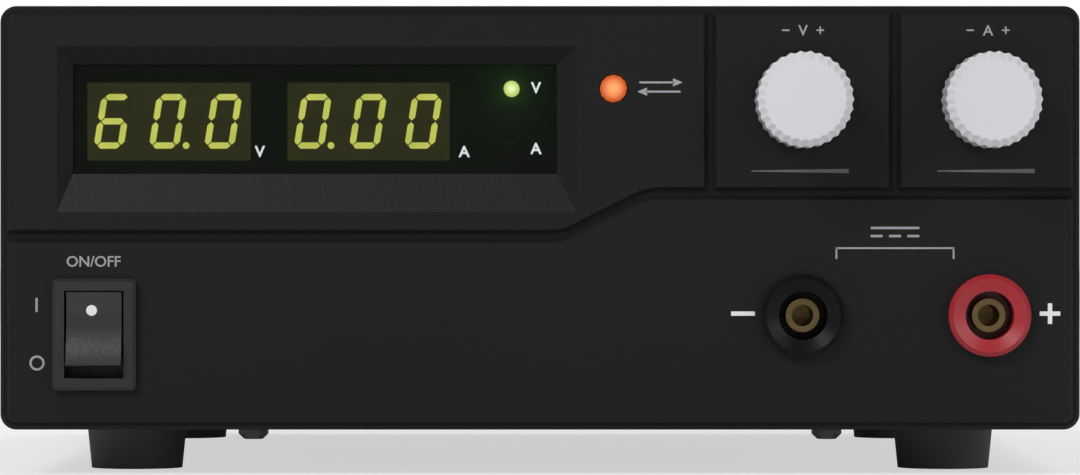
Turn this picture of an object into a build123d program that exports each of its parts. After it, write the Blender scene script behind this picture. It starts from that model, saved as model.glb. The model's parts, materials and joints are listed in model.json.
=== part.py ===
"""A bench power supply: steel case, moulded front bezel, two digital readouts, two push
and turn knobs, rocker power switch, two shrouded front sockets, rear binding posts, fused
inlet and fan, with the boards, magnetics and leads that work inside it.

X runs to the right seen from the front, Y runs to the back and Z runs up. The origin is
the middle of the overall box, on the surface that the feet stand on. Sizes are millimetres.
"""
from build123d import *
import math
import os

# Overall case
bezel_width = 200.0
bezel_height = 78.5
bezel_depth = 20.0
bezel_corner = 3.0
bezel_wall = 2.2
bezel_rear_ledge = 0.8
case_depth = 215.0
foot_height = 9.2
sheet = 1.0
facet_count = 8
hole_facet_count = 12
head_facet_count = 12
cover_gap = 0.15
bend_radius = 1.5
case_bottom = foot_height
bezel_bottom = case_bottom - bezel_rear_ledge
bezel_middle = bezel_bottom + bezel_height / 2
bezel_top = bezel_bottom + bezel_height
case_top = bezel_top - bezel_rear_ledge
case_width = bezel_width - 2 * bezel_rear_ledge
case_height = case_top - case_bottom
panel_right = bezel_width / 2
panel_left = -panel_right

# Front panel relief
rim_step = 1.2
rim_chamfer = 0.6
slab_thickness = 2.3
plate_inset = 1.3
plate_chamfer = 0.6
groove_width = 1.2
lower_plate_left = 0.457 * bezel_height
lower_plate_right = 0.558 * bezel_height
slope_start_x = panel_right - 98.15
slope_radius = 10.4
slope_angle = 27.0
knob_groove_x = panel_right - 68.5
knob_groove_pitch = 34.2

# Display recess and window
recess_left = panel_left + 10.6
recess_right = knob_groove_x - 24.7
recess_top = bezel_top - 7.5
recess_bottom = recess_top - 30.7
recess_depth = 2.6
recess_side_run = 2.8
recess_right_run = 3.7
recess_bottom_run = 7.1
recess_top_run = 3.3
window_left = recess_left + recess_side_run
window_right = recess_right - recess_right_run
window_bottom = recess_bottom + recess_bottom_run
window_top = recess_top - recess_top_run
window_lip = 0.5
window_overlap = 3.0
window_thickness = 2.0
window_fit = 0.1
surround_wall = 1.5
surround_reach = 1.5

# Readouts
module_width = 0.335 * (window_right - window_left)
module_height = 14.4
module_depth = 7.4
module_z = recess_top - 13.8
module_pitch = 0.415 * (window_right - window_left)
voltage_module_x = window_left + 17.4
current_module_x = voltage_module_x + module_pitch
module_behind_window = 0.3
module_edge = 0.4
digit_height = 10.16
digit_width = 0.186 * module_width
digit_pitch = 0.342 * module_width
digit_lean = 9.0
segment_width = 1.15
segment_gap = 0.14
segment_thickness = 0.2
point_diameter = 1.3
point_offset = 0.136 * module_width

# Display board
board_thickness = 1.6
board_corner = 1.5
display_board_left = panel_left + 8.0
display_board_right = panel_right - 5.5
display_board_bottom = bezel_top - 40.9
display_board_top = bezel_top - 4.9

# Indicator lamps
mode_led_x = recess_right - 12.1
voltage_mode_led_z = recess_top - 7.7
current_mode_led_z = recess_top - 19.0
mode_led_diameter = 3.0
mode_led_behind_window = 0.5
remote_led_x = knob_groove_x - 17.9
remote_led_z = bezel_top - 15.3
remote_led_diameter = 5.0
remote_led_proud = 0.4
led_hole_gap = 0.15
led_body_length = 5.4
led_bevel = 0.6
led_leg = 0.5
led_leg_pitch = 2.0

# Knobs and the rotary encoders behind them
current_knob_x = panel_right - 17.0
voltage_knob_x = current_knob_x - 34.5
knob_z = bezel_top - 17.6
knob_diameter = 17.8
knob_height = 14.0
knob_panel_gap = 0.9
knob_bevel = 1.3
knob_wall = 2.0
knob_skirt_depth = 5.0
flute_count = 30
flute_depth = 0.35
shaft_diameter = 6.0
shaft_end_cover = 2.5
shaft_flat = 1.2
running_gap = 0.04
encoder_side = 12.0
encoder_body_depth = 6.5
bushing_diameter = 7.0
bushing_reach = 5.0
bushing_hole_gap = 0.25
plunger_diameter = 7.4
plunger_thickness = 1.2
plunger_gap = 0.3
push_travel = 0.6

# Rocker power switch
switch_x = panel_left + 17.6
switch_z = bezel_bottom + 0.2255 * bezel_height
switch_frame_width = 15.5
switch_frame_height = 20.7
switch_frame_proud = 2.0
switch_frame_round = 1.0
switch_frame_chamfer = 0.6
switch_body_width = 12.9
switch_body_height = 18.8
switch_body_depth = 14.5
switch_cutout_gap = 0.15
rocker_well_width = 11.0
rocker_well_height = 16.2
rocker_well_depth = 8.0
rocker_width = 10.2
rocker_length = 13.7
rocker_dip = 1.5
rocker_end_proud = 3.3
rocker_tilt = 10.0
rocker_pivot_depth = 3.0
rocker_pin_diameter = 2.4
rocker_pin_length = 11.6
rocker_heel = 2.6
rocker_skirt = 2.0
blade_width = 4.8
blade_thickness = 0.8
blade_length = 7.5
blade_pitch = 7.0

# Shrouded front sockets
red_socket_x = panel_right - 16.9
black_socket_x = red_socket_x - 34.5
socket_z = bezel_bottom + 0.27 * bezel_height
socket_flange_diameter = 15.2
socket_proud = 3.0
socket_barrel_diameter = 12.0
socket_length = 24.0
socket_recess_diameter = 9.0
socket_dish = 0.8
socket_rim = 0.8
contact_diameter = 6.2
contact_bore = 4.0
contact_set_back = 4.0
contact_bore_depth = 15.0
contact_tail = 6.0
contact_tail_width = 4.0
contact_tail_thickness = 1.0
contact_shoulder = 9.0
socket_nut_width = 14.5
socket_nut_thickness = 3.0
socket_hole_gap = 0.1

# Feet and case fasteners
foot_x = panel_right - 23.0
front_foot_depth = 35.0
rear_foot_depth = case_depth - 30.0
foot_top_diameter = 19.2
foot_bottom_diameter = 17.3
foot_well_diameter = 7.5
foot_floor = 3.0
screw_diameter = 3.0
screw_head_diameter = 5.6
screw_head_height = 2.0
screw_length = 8.0
screw_hole_gap = 0.2
bezel_screw_x = panel_right - 46.5
bezel_screw_depth = 10.0
bezel_screw_length = 7.0

# Chassis and cover
front_wall_depth = 17.0
front_wall_drop = 2.0
joggle_run = 2.4
joggle_bend = 0.9
bezel_corner_clear = 3.0
wall_clearance = 0.5
cutout_gap = 0.2
cover_bend = 2.0
joggle_clearance = 0.15
tab_width = 14.0
tab_length = 13.0
flange_height = 12.0
flange_end_gap = 3.0
cover_screw_height = 6.5
cover_screw_depths = (45.0, case_depth - 30.0)
top_screw_x = 0.3 * bezel_width
rear_flange_depth = 9.0
vent_count = 12
vent_pitch = 6.5
vent_width = 2.6
vent_height = 24.0
vent_z = case_top - 38.1
vent_first_depth = 48.0

# Mains inlet with its fuse drawer
inlet_x = -0.33 * bezel_width
inlet_z = case_top - 38.1
inlet_flange_width = 50.0
inlet_flange_height = 34.0
inlet_flange_thickness = 3.0
inlet_flange_round = 4.0
inlet_flange_chamfer = 0.8
inlet_body_width = 28.0
inlet_body_height = 31.0
inlet_body_depth = 21.0
inlet_socket_width = 24.2
inlet_socket_height = 16.2
inlet_socket_corner = 4.6
inlet_socket_depth = 16.5
inlet_socket_z = -5.0
inlet_screw_pitch = 40.0
inlet_screw_diameter = 3.0
inlet_screw_head = 5.6
inlet_screw_length = 8.0
inlet_screw_rise = 1.6
pin_width = 4.0
pin_thickness = 2.0
pin_set_back = 2.0
pin_pitch = 7.0
pin_rise = 2.0
pin_chamfer = 0.5
pin_tail_thickness = 0.8
pin_tail_length = 7.0
drawer_width = 22.0
drawer_height = 7.6
drawer_length = 19.0
drawer_z = 10.2
drawer_face_thickness = 1.2
drawer_face_margin = 1.0
drawer_face_chamfer = 0.4
drawer_grip_width = 7.0
drawer_grip_height = 3.0
drawer_wall = 0.9
drawer_gap = 0.15
fuse_diameter = 5.0
fuse_length = 15.0
fuse_pitch = 7.5

# Fan, its rotor and its wire guard
fan_x = 0.0
fan_z = case_top - 39.1
fan_side = case_height - 16.9
fan_depth = 25.0
fan_round = 3.0
fan_bore = fan_side - 3.0
fan_hole_pitch = fan_side - 10.0
fan_hub_diameter = 26.0
fan_hub_wall = 1.6
fan_hub_chamfer = 1.0
fan_boss_diameter = 7.0
fan_tip_gap = 0.6
fan_blade_count = 7
fan_blade_thickness = 1.3
fan_blade_camber = 2.4
fan_blade_angle = 48.0
fan_blade_inset = 1.0
fan_blade_depth = 15.0
fan_motor_plate = 3.0
fan_motor_diameter = 24.0
fan_strut_width = 4.0
fan_strut_count = 4
fan_strut_seat = 1.0
fan_pin_diameter = 3.0
fan_pin_gap = 0.3
fan_rotor_gap = 0.8
fan_rotor_setback = 1.0
guard_wire = 1.6
guard_ring_shares = (0.28, 0.526, 0.772, 1.018)
guard_ring_radii = [share * fan_bore / 2 for share in guard_ring_shares]
guard_weld = 0.3
guard_ring_sides = 28
guard_eye_width = 7.0
fan_screw_diameter = 4.0
fan_screw_head = 7.0
fan_screw_length = 12.0

# Output binding posts
red_post_x = 0.27 * bezel_width
black_post_x = 0.4 * bezel_width
post_z = 30.0
post_base_diameter = 18.0
post_base_thickness = 4.0
post_washer_thickness = 2.0
post_washer_diameter = 16.0
post_cap_diameter = 17.0
post_cap_length = 16.0
post_cap_flutes = 12
post_cap_flute_depth = 0.6
post_cap_bevel = 0.8
post_stud_diameter = 6.0
post_bore = 4.0
post_bore_depth = 20.0
post_stud_set_back = 0.6
post_tail = 14.0
post_neck_side = 9.0
post_neck_length = 2.0
post_clamp_gap = 0.3
post_nut_width = 11.0
post_nut_thickness = 3.0

# Remote control connector and mode switch
mode_switch_x = red_post_x
mode_switch_z = case_top - 20.1
slide_body_width = 19.0
slide_body_height = 9.0
slide_body_depth = 9.0
slide_plate_width = 24.0
slide_plate_thickness = 0.8
slide_slot_width = 12.0
slide_slot_height = 5.0
slide_track_depth = 4.0
slider_width = 4.0
slider_gap = 0.15
slider_proud = 3.0
slider_chamfer = 0.4
slider_ridge = 0.6
connector_x = black_post_x
connector_z = mode_switch_z
connector_width = 19.0
connector_height = 11.0
connector_depth = 13.0
connector_proud = 2.0
connector_wall = 1.2
connector_lip = 1.0
connector_cavity_depth = 10.0
connector_pin = 1.0
connector_pin_set_back = 2.0
connector_pin_pitch = 3.5
connector_pin_count = 4

# Main board and what stands on it
standoff_height = 6.0
standoff_width = 6.0
standoff_x = panel_right - 20.0
standoff_depths = (48.0, case_depth - 47.0)
main_board_width = bezel_width - 24.0
main_board_front = 26.0
main_board_rear = case_depth - 31.0
main_board_length = main_board_rear - main_board_front
board_screw_length = 6.0
heatsink_x = 0.19 * bezel_width
heatsink_front = main_board_front + 0.19 * main_board_length
heatsink_rear = main_board_front + 0.734 * main_board_length
heatsink_base = 4.0
heatsink_height = 46.0
heatsink_fin = 1.6
heatsink_fin_count = 7
transistor_width = 15.6
transistor_height = 20.0
transistor_thickness = 5.0
transistor_shares = (0.29, 0.455, 0.62)
transistor_depths = [main_board_front + share * main_board_length
                     for share in transistor_shares]
transistor_lift = 12.0
transistor_leg = 1.2
transistor_leg_pitch = 5.4
transformer_depth = main_board_front + 0.494 * main_board_length
core_width = 42.0
core_height = 40.0
core_thickness = 18.0
core_leg = 7.0
core_lift = 3.0
base_rail = 4.0
winding_gap = 0.5
winding_width = 26.0
winding_length = 34.0
winding_round = 6.0
choke_x = 0.34 * bezel_width
choke_depth = main_board_front + 0.797 * main_board_length
choke_outer = 0.19 * main_board_length
choke_inner = choke_outer - 14.0
choke_height = 14.0
choke_turns = 14
choke_wire = 2.4
can_bevel = 1.2
bulk_capacitor_height = 42.0
bulk_capacitor_gap = 5.0
bulk_capacitor_x = -0.34 * bezel_width
bulk_capacitor_shares = (0.291, 0.481)
bulk_capacitor_depths = [main_board_front + share * main_board_length
                         for share in bulk_capacitor_shares]
bulk_capacitor_diameter = (bulk_capacitor_depths[1] - bulk_capacitor_depths[0]
                           - bulk_capacitor_gap)
heatsink_gap = 0.5
heatsink_fin_reach = (-bulk_capacitor_x - bulk_capacitor_diameter / 2 - heatsink_gap
                      - heatsink_x - heatsink_base)
output_capacitor_diameter = 13.0
output_capacitor_height = 26.0
output_capacitor_x = 0.35 * bezel_width
output_capacitor_shares = (0.316, 0.424, 0.532, 0.639)
output_capacitor_depths = [main_board_front + share * main_board_length
                           for share in output_capacitor_shares]
filter_choke_x = -0.33 * bezel_width
filter_choke_depth = main_board_front + 0.81 * main_board_length
filter_choke_width = 28.0
filter_choke_height = 30.0
filter_choke_leg = 8.0
filter_coil_diameter = 16.0

# Leads and ribbon
lead_diameter = 3.6
lead_bend = 5.0
bar_width = 10.0
bar_thickness = 1.5
bar_bend = 3.0
bar_foot = 10.0
socket_lead_run = 10.0
mains_lane_margin = 6.0
mains_lead_run = 10.0
mains_lead_bend = 4.0
switch_lead_run = 20.0
ribbon_width = 25.0
ribbon_thickness = 1.0
ribbon_bend = 4.0
ribbon_foot = 32.0
ribbon_x = 0.0
ribbon_level = 49.0
ribbon_slot_height = 4.0

# Places worked out from the sizes above
knob_reach = knob_panel_gap + knob_height
rear_post_reach = post_base_thickness + post_washer_thickness + post_cap_length
panel_y = -(knob_reach + case_depth + rear_post_reach) / 2 + knob_reach
chassis_width = case_width - 2 * sheet - 2 * cover_gap
slab_back = rim_step + slab_thickness
window_front = recess_depth + window_lip
window_back = window_front + window_thickness
module_front = window_back + module_behind_window + segment_thickness
board_front = module_front + module_depth
board_back = board_front + board_thickness
encoder_front = board_front - encoder_body_depth
rear_face = case_depth
rear_inside = case_depth - sheet
floor_top = case_bottom + sheet
board_bottom = floor_top + standoff_height
board_top = board_bottom + board_thickness
tab_z = bezel_bottom + bezel_wall + joggle_clearance
shaft_tip = shaft_end_cover - knob_panel_gap - knob_height
plunger_back = board_front - push_travel - plunger_gap
plunger_front = plunger_back - plunger_thickness - plunger_gap
fuse_middle = rear_face + inlet_flange_thickness - drawer_length / 2


# Helpers that place sketches and profiles


def facing_front(depth, x=0.0, z=0.0):
    """A plane that faces the front, this far behind the panel's face."""
    return Plane((x, panel_y + depth, z), x_dir=(1, 0, 0), z_dir=(0, -1, 0))


def slice_between(sketch, near, far, x=0.0, z=0.0):
    """A solid of one front-view sketch from one depth to another."""
    return extrude(facing_front(near, x, z) * sketch, amount=near - far)


def turned_in_depth(outline, x, z):
    """A solid turned about a front-to-back line, from (radius, depth) points."""
    plane = Plane((x, panel_y, z), x_dir=(1, 0, 0), z_dir=(0, 0, 1))
    profile = make_face(Polyline(*outline, close=True))
    return revolve(plane * profile, axis=Axis((x, panel_y, z), (0, 1, 0)))


def turned_upright(outline, x, depth, z):
    """A solid turned about an upright line, from (radius, height) points."""
    plane = Plane((x, panel_y + depth, z), x_dir=(1, 0, 0), z_dir=(0, -1, 0))
    profile = make_face(Polyline(*outline, close=True))
    return revolve(plane * profile, axis=Axis((x, panel_y + depth, z), (0, 0, 1)))


def standing_box(x, depth, z, width, length, height):
    """A box on a level, centred on x and on a depth."""
    return Pos(x, panel_y + depth, z + height / 2) * Box(width, length, height)


def bent_strip(points, radius, thickness):
    """The outline of a strip of sheet that follows these points with rounded bends."""
    return trace(FilletPolyline(*points, radius=radius), line_width=thickness)


def seen_from_side(sketch, left, right):
    """A solid of a (depth, height) sketch from one x to another."""
    plane = Plane((left, panel_y, 0), x_dir=(0, 1, 0), z_dir=(1, 0, 0))
    return extrude(plane * sketch, amount=right - left)


def lead(points, diameter, bend):
    """An insulated lead through (x, depth, z) points, with a six-sided section."""
    places = [(x, panel_y + depth, z) for x, depth, z in points]
    path = FilletPolyline(*places, radius=bend)
    start = Plane(path @ 0, z_dir=path % 0)
    return sweep(start * RegularPolygon(diameter / 2, 6), path=path)


def facets(diameter):
    """A round section drawn with few flats, for shanks and for what is hidden."""
    return RegularPolygon(diameter / 2, facet_count)


def facet_round(diameter):
    """A round drawn with enough flats for a lamp, a can or a small hub."""
    return RegularPolygon(diameter / 2, head_facet_count)


def facet_hole(diameter):
    """A hole with few flats that clears a round of this diameter."""
    return RegularPolygon(diameter / 2, hole_facet_count, major_radius=False)


def pan_screw(head, diameter, length, head_height):
    """A pan head screw that points up, with its head's seat at the origin."""
    crown = extrude(facet_round(head), amount=-head_height)
    crown = chamfer(crown.faces().sort_by(Axis.Z)[0].edges(), head_height / 2)
    return crown + extrude(facets(diameter), amount=length)


def screw_hole(diameter, length):
    """A cutter for a screw's hole, centred on the origin and upright."""
    return Pos(0, 0, -length / 2) * extrude(facets(diameter), amount=length)


# The front panel


def panel_outline(inset, corner):
    """The bezel's outline, drawn this far inside its edge."""
    return RectangleRounded(bezel_width - 2 * inset, bezel_height - 2 * inset, corner)


def plate_grooves():
    """The grooves between the raised plates, as one front-view sketch in X and Z."""
    reach = bezel_width
    low = bezel_bottom + lower_plate_left
    high = bezel_bottom + lower_plate_right
    angle = math.radians(slope_angle)
    straight = (high - low - 2 * slope_radius * (1 - math.cos(angle))) / math.sin(angle)
    first = CenterArc((slope_start_x, low + slope_radius), slope_radius, 270, slope_angle)
    slope = Line(first @ 1, first @ 1 + Vector(straight * math.cos(angle),
                                                straight * math.sin(angle)))
    centre = slope @ 1 + Vector(slope_radius * math.sin(angle), -slope_radius * math.cos(angle))
    last = CenterArc(centre, slope_radius, 90 + slope_angle, -slope_angle)
    left = Line((-reach, low), first @ 0)
    right = Line(last @ 1, (reach, high))
    sketch = trace(Wire([left, first, slope, last, right]), line_width=groove_width)
    for index in range(2):
        groove_x = knob_groove_x + index * knob_groove_pitch
        sketch += Pos(groove_x, high + reach / 2) * Rectangle(groove_width, reach)
    return sketch


def raised_plates():
    """The plates that stand proud of the bezel, each with a bevelled front edge."""
    inside = Pos(0, bezel_middle) * panel_outline(plate_inset, bezel_corner - plate_inset)
    plates = []
    for face in (inside - plate_grooves()).faces():
        solid = slice_between(Sketch([face]), 0, rim_step)
        front = solid.faces().sort_by(Axis.Y)[0]
        plates.append(chamfer(front.edges(), plate_chamfer))
    return plates


def window_rectangle(margin):
    """The clear opening of the display window, grown by a margin."""
    width = window_right - window_left + 2 * margin
    height = window_top - window_bottom + 2 * margin
    middle_x = (window_left + window_right) / 2
    middle_z = (window_bottom + window_top) / 2
    return Pos(middle_x, middle_z) * Rectangle(width, height)


def display_recess():
    """The funnel that leads from the panel's face down to the window."""
    width = recess_right - recess_left
    height = recess_top - recess_bottom
    middle = ((recess_left + recess_right) / 2, (recess_bottom + recess_top) / 2)
    mouth = facing_front(0) * (Pos(*middle) * Rectangle(width, height))
    throat = facing_front(recess_depth) * window_rectangle(0)
    return loft([mouth, throat])


def make_front_bezel():
    outer = Pos(0, bezel_middle) * panel_outline(0, bezel_corner)
    inner = Pos(0, bezel_middle) * panel_outline(bezel_wall, bezel_corner - bezel_wall)
    slab = slice_between(outer, rim_step, bezel_depth)
    slab = chamfer(slab.faces().sort_by(Axis.Y)[0].edges(), rim_chamfer)
    shell = slab - slice_between(inner, slab_back, bezel_depth)
    for plate in raised_plates():
        shell += plate
    pocket_margin = window_overlap + window_fit
    boss = window_rectangle(pocket_margin + surround_wall)
    shell += slice_between(boss, slab_back, window_back + surround_reach)
    shell -= display_recess()
    shell -= slice_between(window_rectangle(0), recess_depth, window_front)
    shell -= slice_between(window_rectangle(pocket_margin), window_front, bezel_depth)
    openings = Pos(remote_led_x, remote_led_z) * facet_hole(remote_led_diameter + 2 * led_hole_gap)
    for x in (voltage_knob_x, current_knob_x):
        openings += Pos(x, knob_z) * facet_hole(bushing_diameter + 2 * bushing_hole_gap)
    for x in (black_socket_x, red_socket_x):
        openings += Pos(x, socket_z) * facet_hole(socket_barrel_diameter + 2 * socket_hole_gap)
    openings += Pos(switch_x, switch_z) * Rectangle(switch_body_width + 2 * switch_cutout_gap,
                                                    switch_body_height + 2 * switch_cutout_gap)
    shell -= slice_between(openings, 0, slab_back)
    for x in (-bezel_screw_x, bezel_screw_x):
        hole = screw_hole(screw_diameter + 2 * screw_hole_gap, 2 * bezel_wall)
        shell -= Pos(x, panel_y + bezel_screw_depth, bezel_bottom + bezel_wall / 2) * hole
    return shell


def make_display_window():
    return slice_between(window_rectangle(window_overlap), window_front, window_back)


# Readouts and the board that carries them


def make_display_modules():
    """Two readout housings, open at the back edge as moulded, face to face with the board."""
    modules = []
    for x in (voltage_module_x, current_module_x):
        body = slice_between(Rectangle(module_width, module_height), module_front, board_front,
                             x, module_z)
        front = body.faces().sort_by(Axis.Y)[0]
        modules.append(chamfer(front.edges(), module_edge))
    return modules


def bar(x, z, length, upright):
    """One bar of a digit, with pointed ends, sheared to the right as the digits lean."""
    half = length / 2 - segment_gap
    tip = segment_width / 2
    corners = [(-half, 0), (-half + tip, tip), (half - tip, tip), (half, 0), (half - tip, -tip),
               (-half + tip, -tip)]
    if upright:
        corners = [(-rise, run) for run, rise in corners]
    lean = math.tan(math.radians(digit_lean))
    points = [(x + run + (z + rise) * lean, z + rise) for run, rise in corners]
    return make_face(Polyline(*points, close=True))


def digit_sketches():
    """The seven bars and the point of one digit, centred on its middle."""
    across = digit_width - segment_width
    half_height = (digit_height - segment_width) / 2
    bars = [bar(0, level * half_height, across, False) for level in (-1, 0, 1)]
    for side in (-1, 1):
        for level in (-1, 1):
            bars.append(bar(side * across / 2, level * half_height / 2, half_height, True))
    lean = math.tan(math.radians(digit_lean))
    point = RegularPolygon(point_diameter / 2, facet_count)
    bars.append(Pos(point_offset - half_height * lean, -half_height) * point)
    return bars


def make_display_segments():
    """The light bars of both readouts, which sit on the faces of their housings."""
    bars = []
    for module_x in (voltage_module_x, current_module_x):
        for index in (-1, 0, 1):
            for sketch in digit_sketches():
                bars.append(slice_between(sketch, module_front - segment_thickness,
                                          module_front, module_x + index * digit_pitch, module_z))
    return bars


def make_display_board():
    width = display_board_right - display_board_left
    height = display_board_top - display_board_bottom
    middle = ((display_board_left + display_board_right) / 2,
              (display_board_bottom + display_board_top) / 2)
    outline = Pos(*middle) * RectangleRounded(width, height, board_corner)
    return slice_between(outline, board_front, board_back)


def led(x, z, diameter, tip_depth):
    """A round lamp with a bevelled tip and two legs that reach the board."""
    base = tip_depth + led_body_length
    lens = slice_between(facet_round(diameter), tip_depth, base, x, z)
    front = lens.faces().sort_by(Axis.Y)[0]
    lens = chamfer(front.edges(), led_bevel)
    legs = []
    for side in (-1, 1):
        legs.append(slice_between(Rectangle(led_leg, led_leg), base, board_front,
                                  x + side * led_leg_pitch / 2, z))
    return [lens] + legs


# Rotary encoders and knobs


def make_encoders():
    """Two encoder bodies with threaded noses, bored for their shafts and plungers."""
    bodies = []
    for x in (voltage_knob_x, current_knob_x):
        body = slice_between(Rectangle(encoder_side, encoder_side), encoder_front, board_front,
                             x, knob_z)
        nose_start = encoder_front - bushing_reach
        body += slice_between(facet_round(bushing_diameter), nose_start, encoder_front, x, knob_z)
        body -= slice_between(Circle(shaft_diameter / 2 + running_gap), nose_start,
                              board_front, x, knob_z)
        body -= slice_between(facet_hole(plunger_diameter + 2 * plunger_gap), plunger_front,
                              board_front, x, knob_z)
        bodies.append(body)
    return bodies


def make_plunger(x):
    """The disc that the shaft presses, which slides but does not turn."""
    return slice_between(facet_round(plunger_diameter), plunger_back - plunger_thickness,
                         plunger_back, x, knob_z)


def make_shaft(x):
    """The knob's shaft, with a flat along the length that the knob grips."""
    start = shaft_tip
    half = shaft_diameter / 2
    shaft = slice_between(Circle(half), start, plunger_back - plunger_thickness, x, knob_z)
    flat = Pos(0, half - shaft_flat / 2) * Rectangle(2 * half, shaft_flat)
    return shaft - slice_between(flat, start, -knob_panel_gap, x, knob_z)


def fluted_outline(diameter, count, depth):
    """A round grip's outline: ridges and grooves that take turns round it."""
    points = []
    for index in range(2 * count):
        radius = diameter / 2 - depth * (index % 2)
        angle = math.pi * index / count
        points.append((radius * math.cos(angle), radius * math.sin(angle)))
    return make_face(Polyline(*points, close=True))


def make_knob(x):
    """A fluted knob with a bevelled face, a hollow skirt and a D bore."""
    face = -knob_panel_gap - knob_height
    outline = fluted_outline(knob_diameter, flute_count, flute_depth)
    knob = slice_between(outline, face + knob_bevel, -knob_panel_gap, x, knob_z)
    small = fluted_outline(knob_diameter - 2 * knob_bevel, flute_count, flute_depth)
    knob += loft([facing_front(face + knob_bevel, x, knob_z) * outline,
                  facing_front(face, x, knob_z) * small], ruled=True)
    knob -= slice_between(facet_hole(knob_diameter - 2 * knob_wall),
                          -knob_panel_gap - knob_skirt_depth, -knob_panel_gap, x, knob_z)
    bore = Circle(shaft_diameter / 2)
    flat_height = shaft_diameter / 2 - shaft_flat / 2
    bore -= Pos(0, flat_height) * Rectangle(shaft_diameter, shaft_flat)
    return knob - slice_between(bore, shaft_tip, -knob_panel_gap, x, knob_z)


# Power switch


def make_switch_housing():
    """The snap-in switch: a bezel frame, a hollow body, and bores for the rocker's pin."""
    frame = slice_between(RectangleRounded(switch_frame_width, switch_frame_height,
                                           switch_frame_round),
                          -switch_frame_proud, 0, switch_x, switch_z)
    frame = chamfer(frame.faces().sort_by(Axis.Y)[0].edges(), switch_frame_chamfer)
    body = slice_between(Rectangle(switch_body_width, switch_body_height), 0, switch_body_depth,
                         switch_x, switch_z)
    housing = frame + body
    well = Rectangle(rocker_well_width, rocker_well_height)
    housing -= slice_between(well, -switch_frame_proud, rocker_well_depth, switch_x, switch_z)
    pin = Cylinder(rocker_pin_diameter / 2 + running_gap, rocker_pin_length + 2 * running_gap,
                   rotation=(0, 90, 0))
    return housing - Pos(switch_x, panel_y + rocker_pivot_depth, switch_z) * pin


def make_power_rocker():
    """The rocker with its dished face and pivot pin, tilted with its upper half pressed in."""
    half = rocker_length / 2
    end = -rocker_end_proud
    centre = end + rocker_dip
    foot = rocker_pivot_depth + rocker_heel
    face = ThreePointArc((end, -half), (centre, 0), (end, half))
    sides = Polyline((end, half), (end + rocker_skirt, half), (foot, half / 3),
                     (foot, -half / 3), (end + rocker_skirt, -half), (end, -half))
    profile = make_face([face, sides])
    left = switch_x - rocker_width / 2
    rocker = seen_from_side(Pos(0, switch_z) * profile, left, left + rocker_width)
    pivot = (switch_x, panel_y + rocker_pivot_depth, switch_z)
    rocker += Pos(*pivot) * Cylinder(rocker_pin_diameter / 2, rocker_pin_length,
                                     rotation=(0, 90, 0))
    return rocker.rotate(Axis(pivot, (1, 0, 0)), -rocker_tilt)


def make_switch_blades():
    """The switch's two rear blades."""
    blades = []
    for side in (-1, 1):
        place = Pos(0, side * blade_pitch / 2)
        blades.append(slice_between(place * Rectangle(blade_width, blade_thickness),
                                    switch_body_depth, switch_body_depth + blade_length,
                                    switch_x, switch_z))
    return blades


# Front sockets


def make_socket(x):
    """A shrouded socket: a dished flange, a long barrel and a stepped bore."""
    flange = socket_flange_diameter / 2
    barrel = socket_barrel_diameter / 2
    recess = socket_recess_diameter / 2
    hole = contact_diameter / 2
    rim = socket_rim
    outline = [(recess, socket_dish - socket_proud), (flange - rim, -socket_proud),
               (flange, rim - socket_proud), (flange, 0), (barrel, 0), (barrel, socket_length),
               (hole, socket_length), (hole, contact_shoulder), (recess, contact_shoulder)]
    return turned_in_depth(outline, x, socket_z)


def make_socket_contacts():
    """The brass contacts: a plug bore in front and a flat tail behind."""
    contacts = []
    tip = contact_set_back - socket_proud
    for x in (black_socket_x, red_socket_x):
        hole = contact_bore / 2
        half = contact_diameter / 2
        bottom = tip + contact_bore_depth
        outline = [(hole, tip), (half, tip), (half, socket_length), (0, socket_length),
                   (0, bottom), (hole, bottom)]
        tail = slice_between(Rectangle(contact_tail_width, contact_tail_thickness),
                             socket_length, socket_length + contact_tail, x, socket_z)
        contacts.append(turned_in_depth(outline, x, socket_z) + tail)
    return contacts


def make_socket_nuts():
    nuts = []
    for x in (black_socket_x, red_socket_x):
        ring = RegularPolygon(socket_nut_width / 2, 6, major_radius=False)
        ring -= facet_hole(socket_barrel_diameter)
        nuts.append(slice_between(ring, slab_back, slab_back + socket_nut_thickness, x, socket_z))
    return nuts


# Chassis, cover, feet and screws


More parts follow.
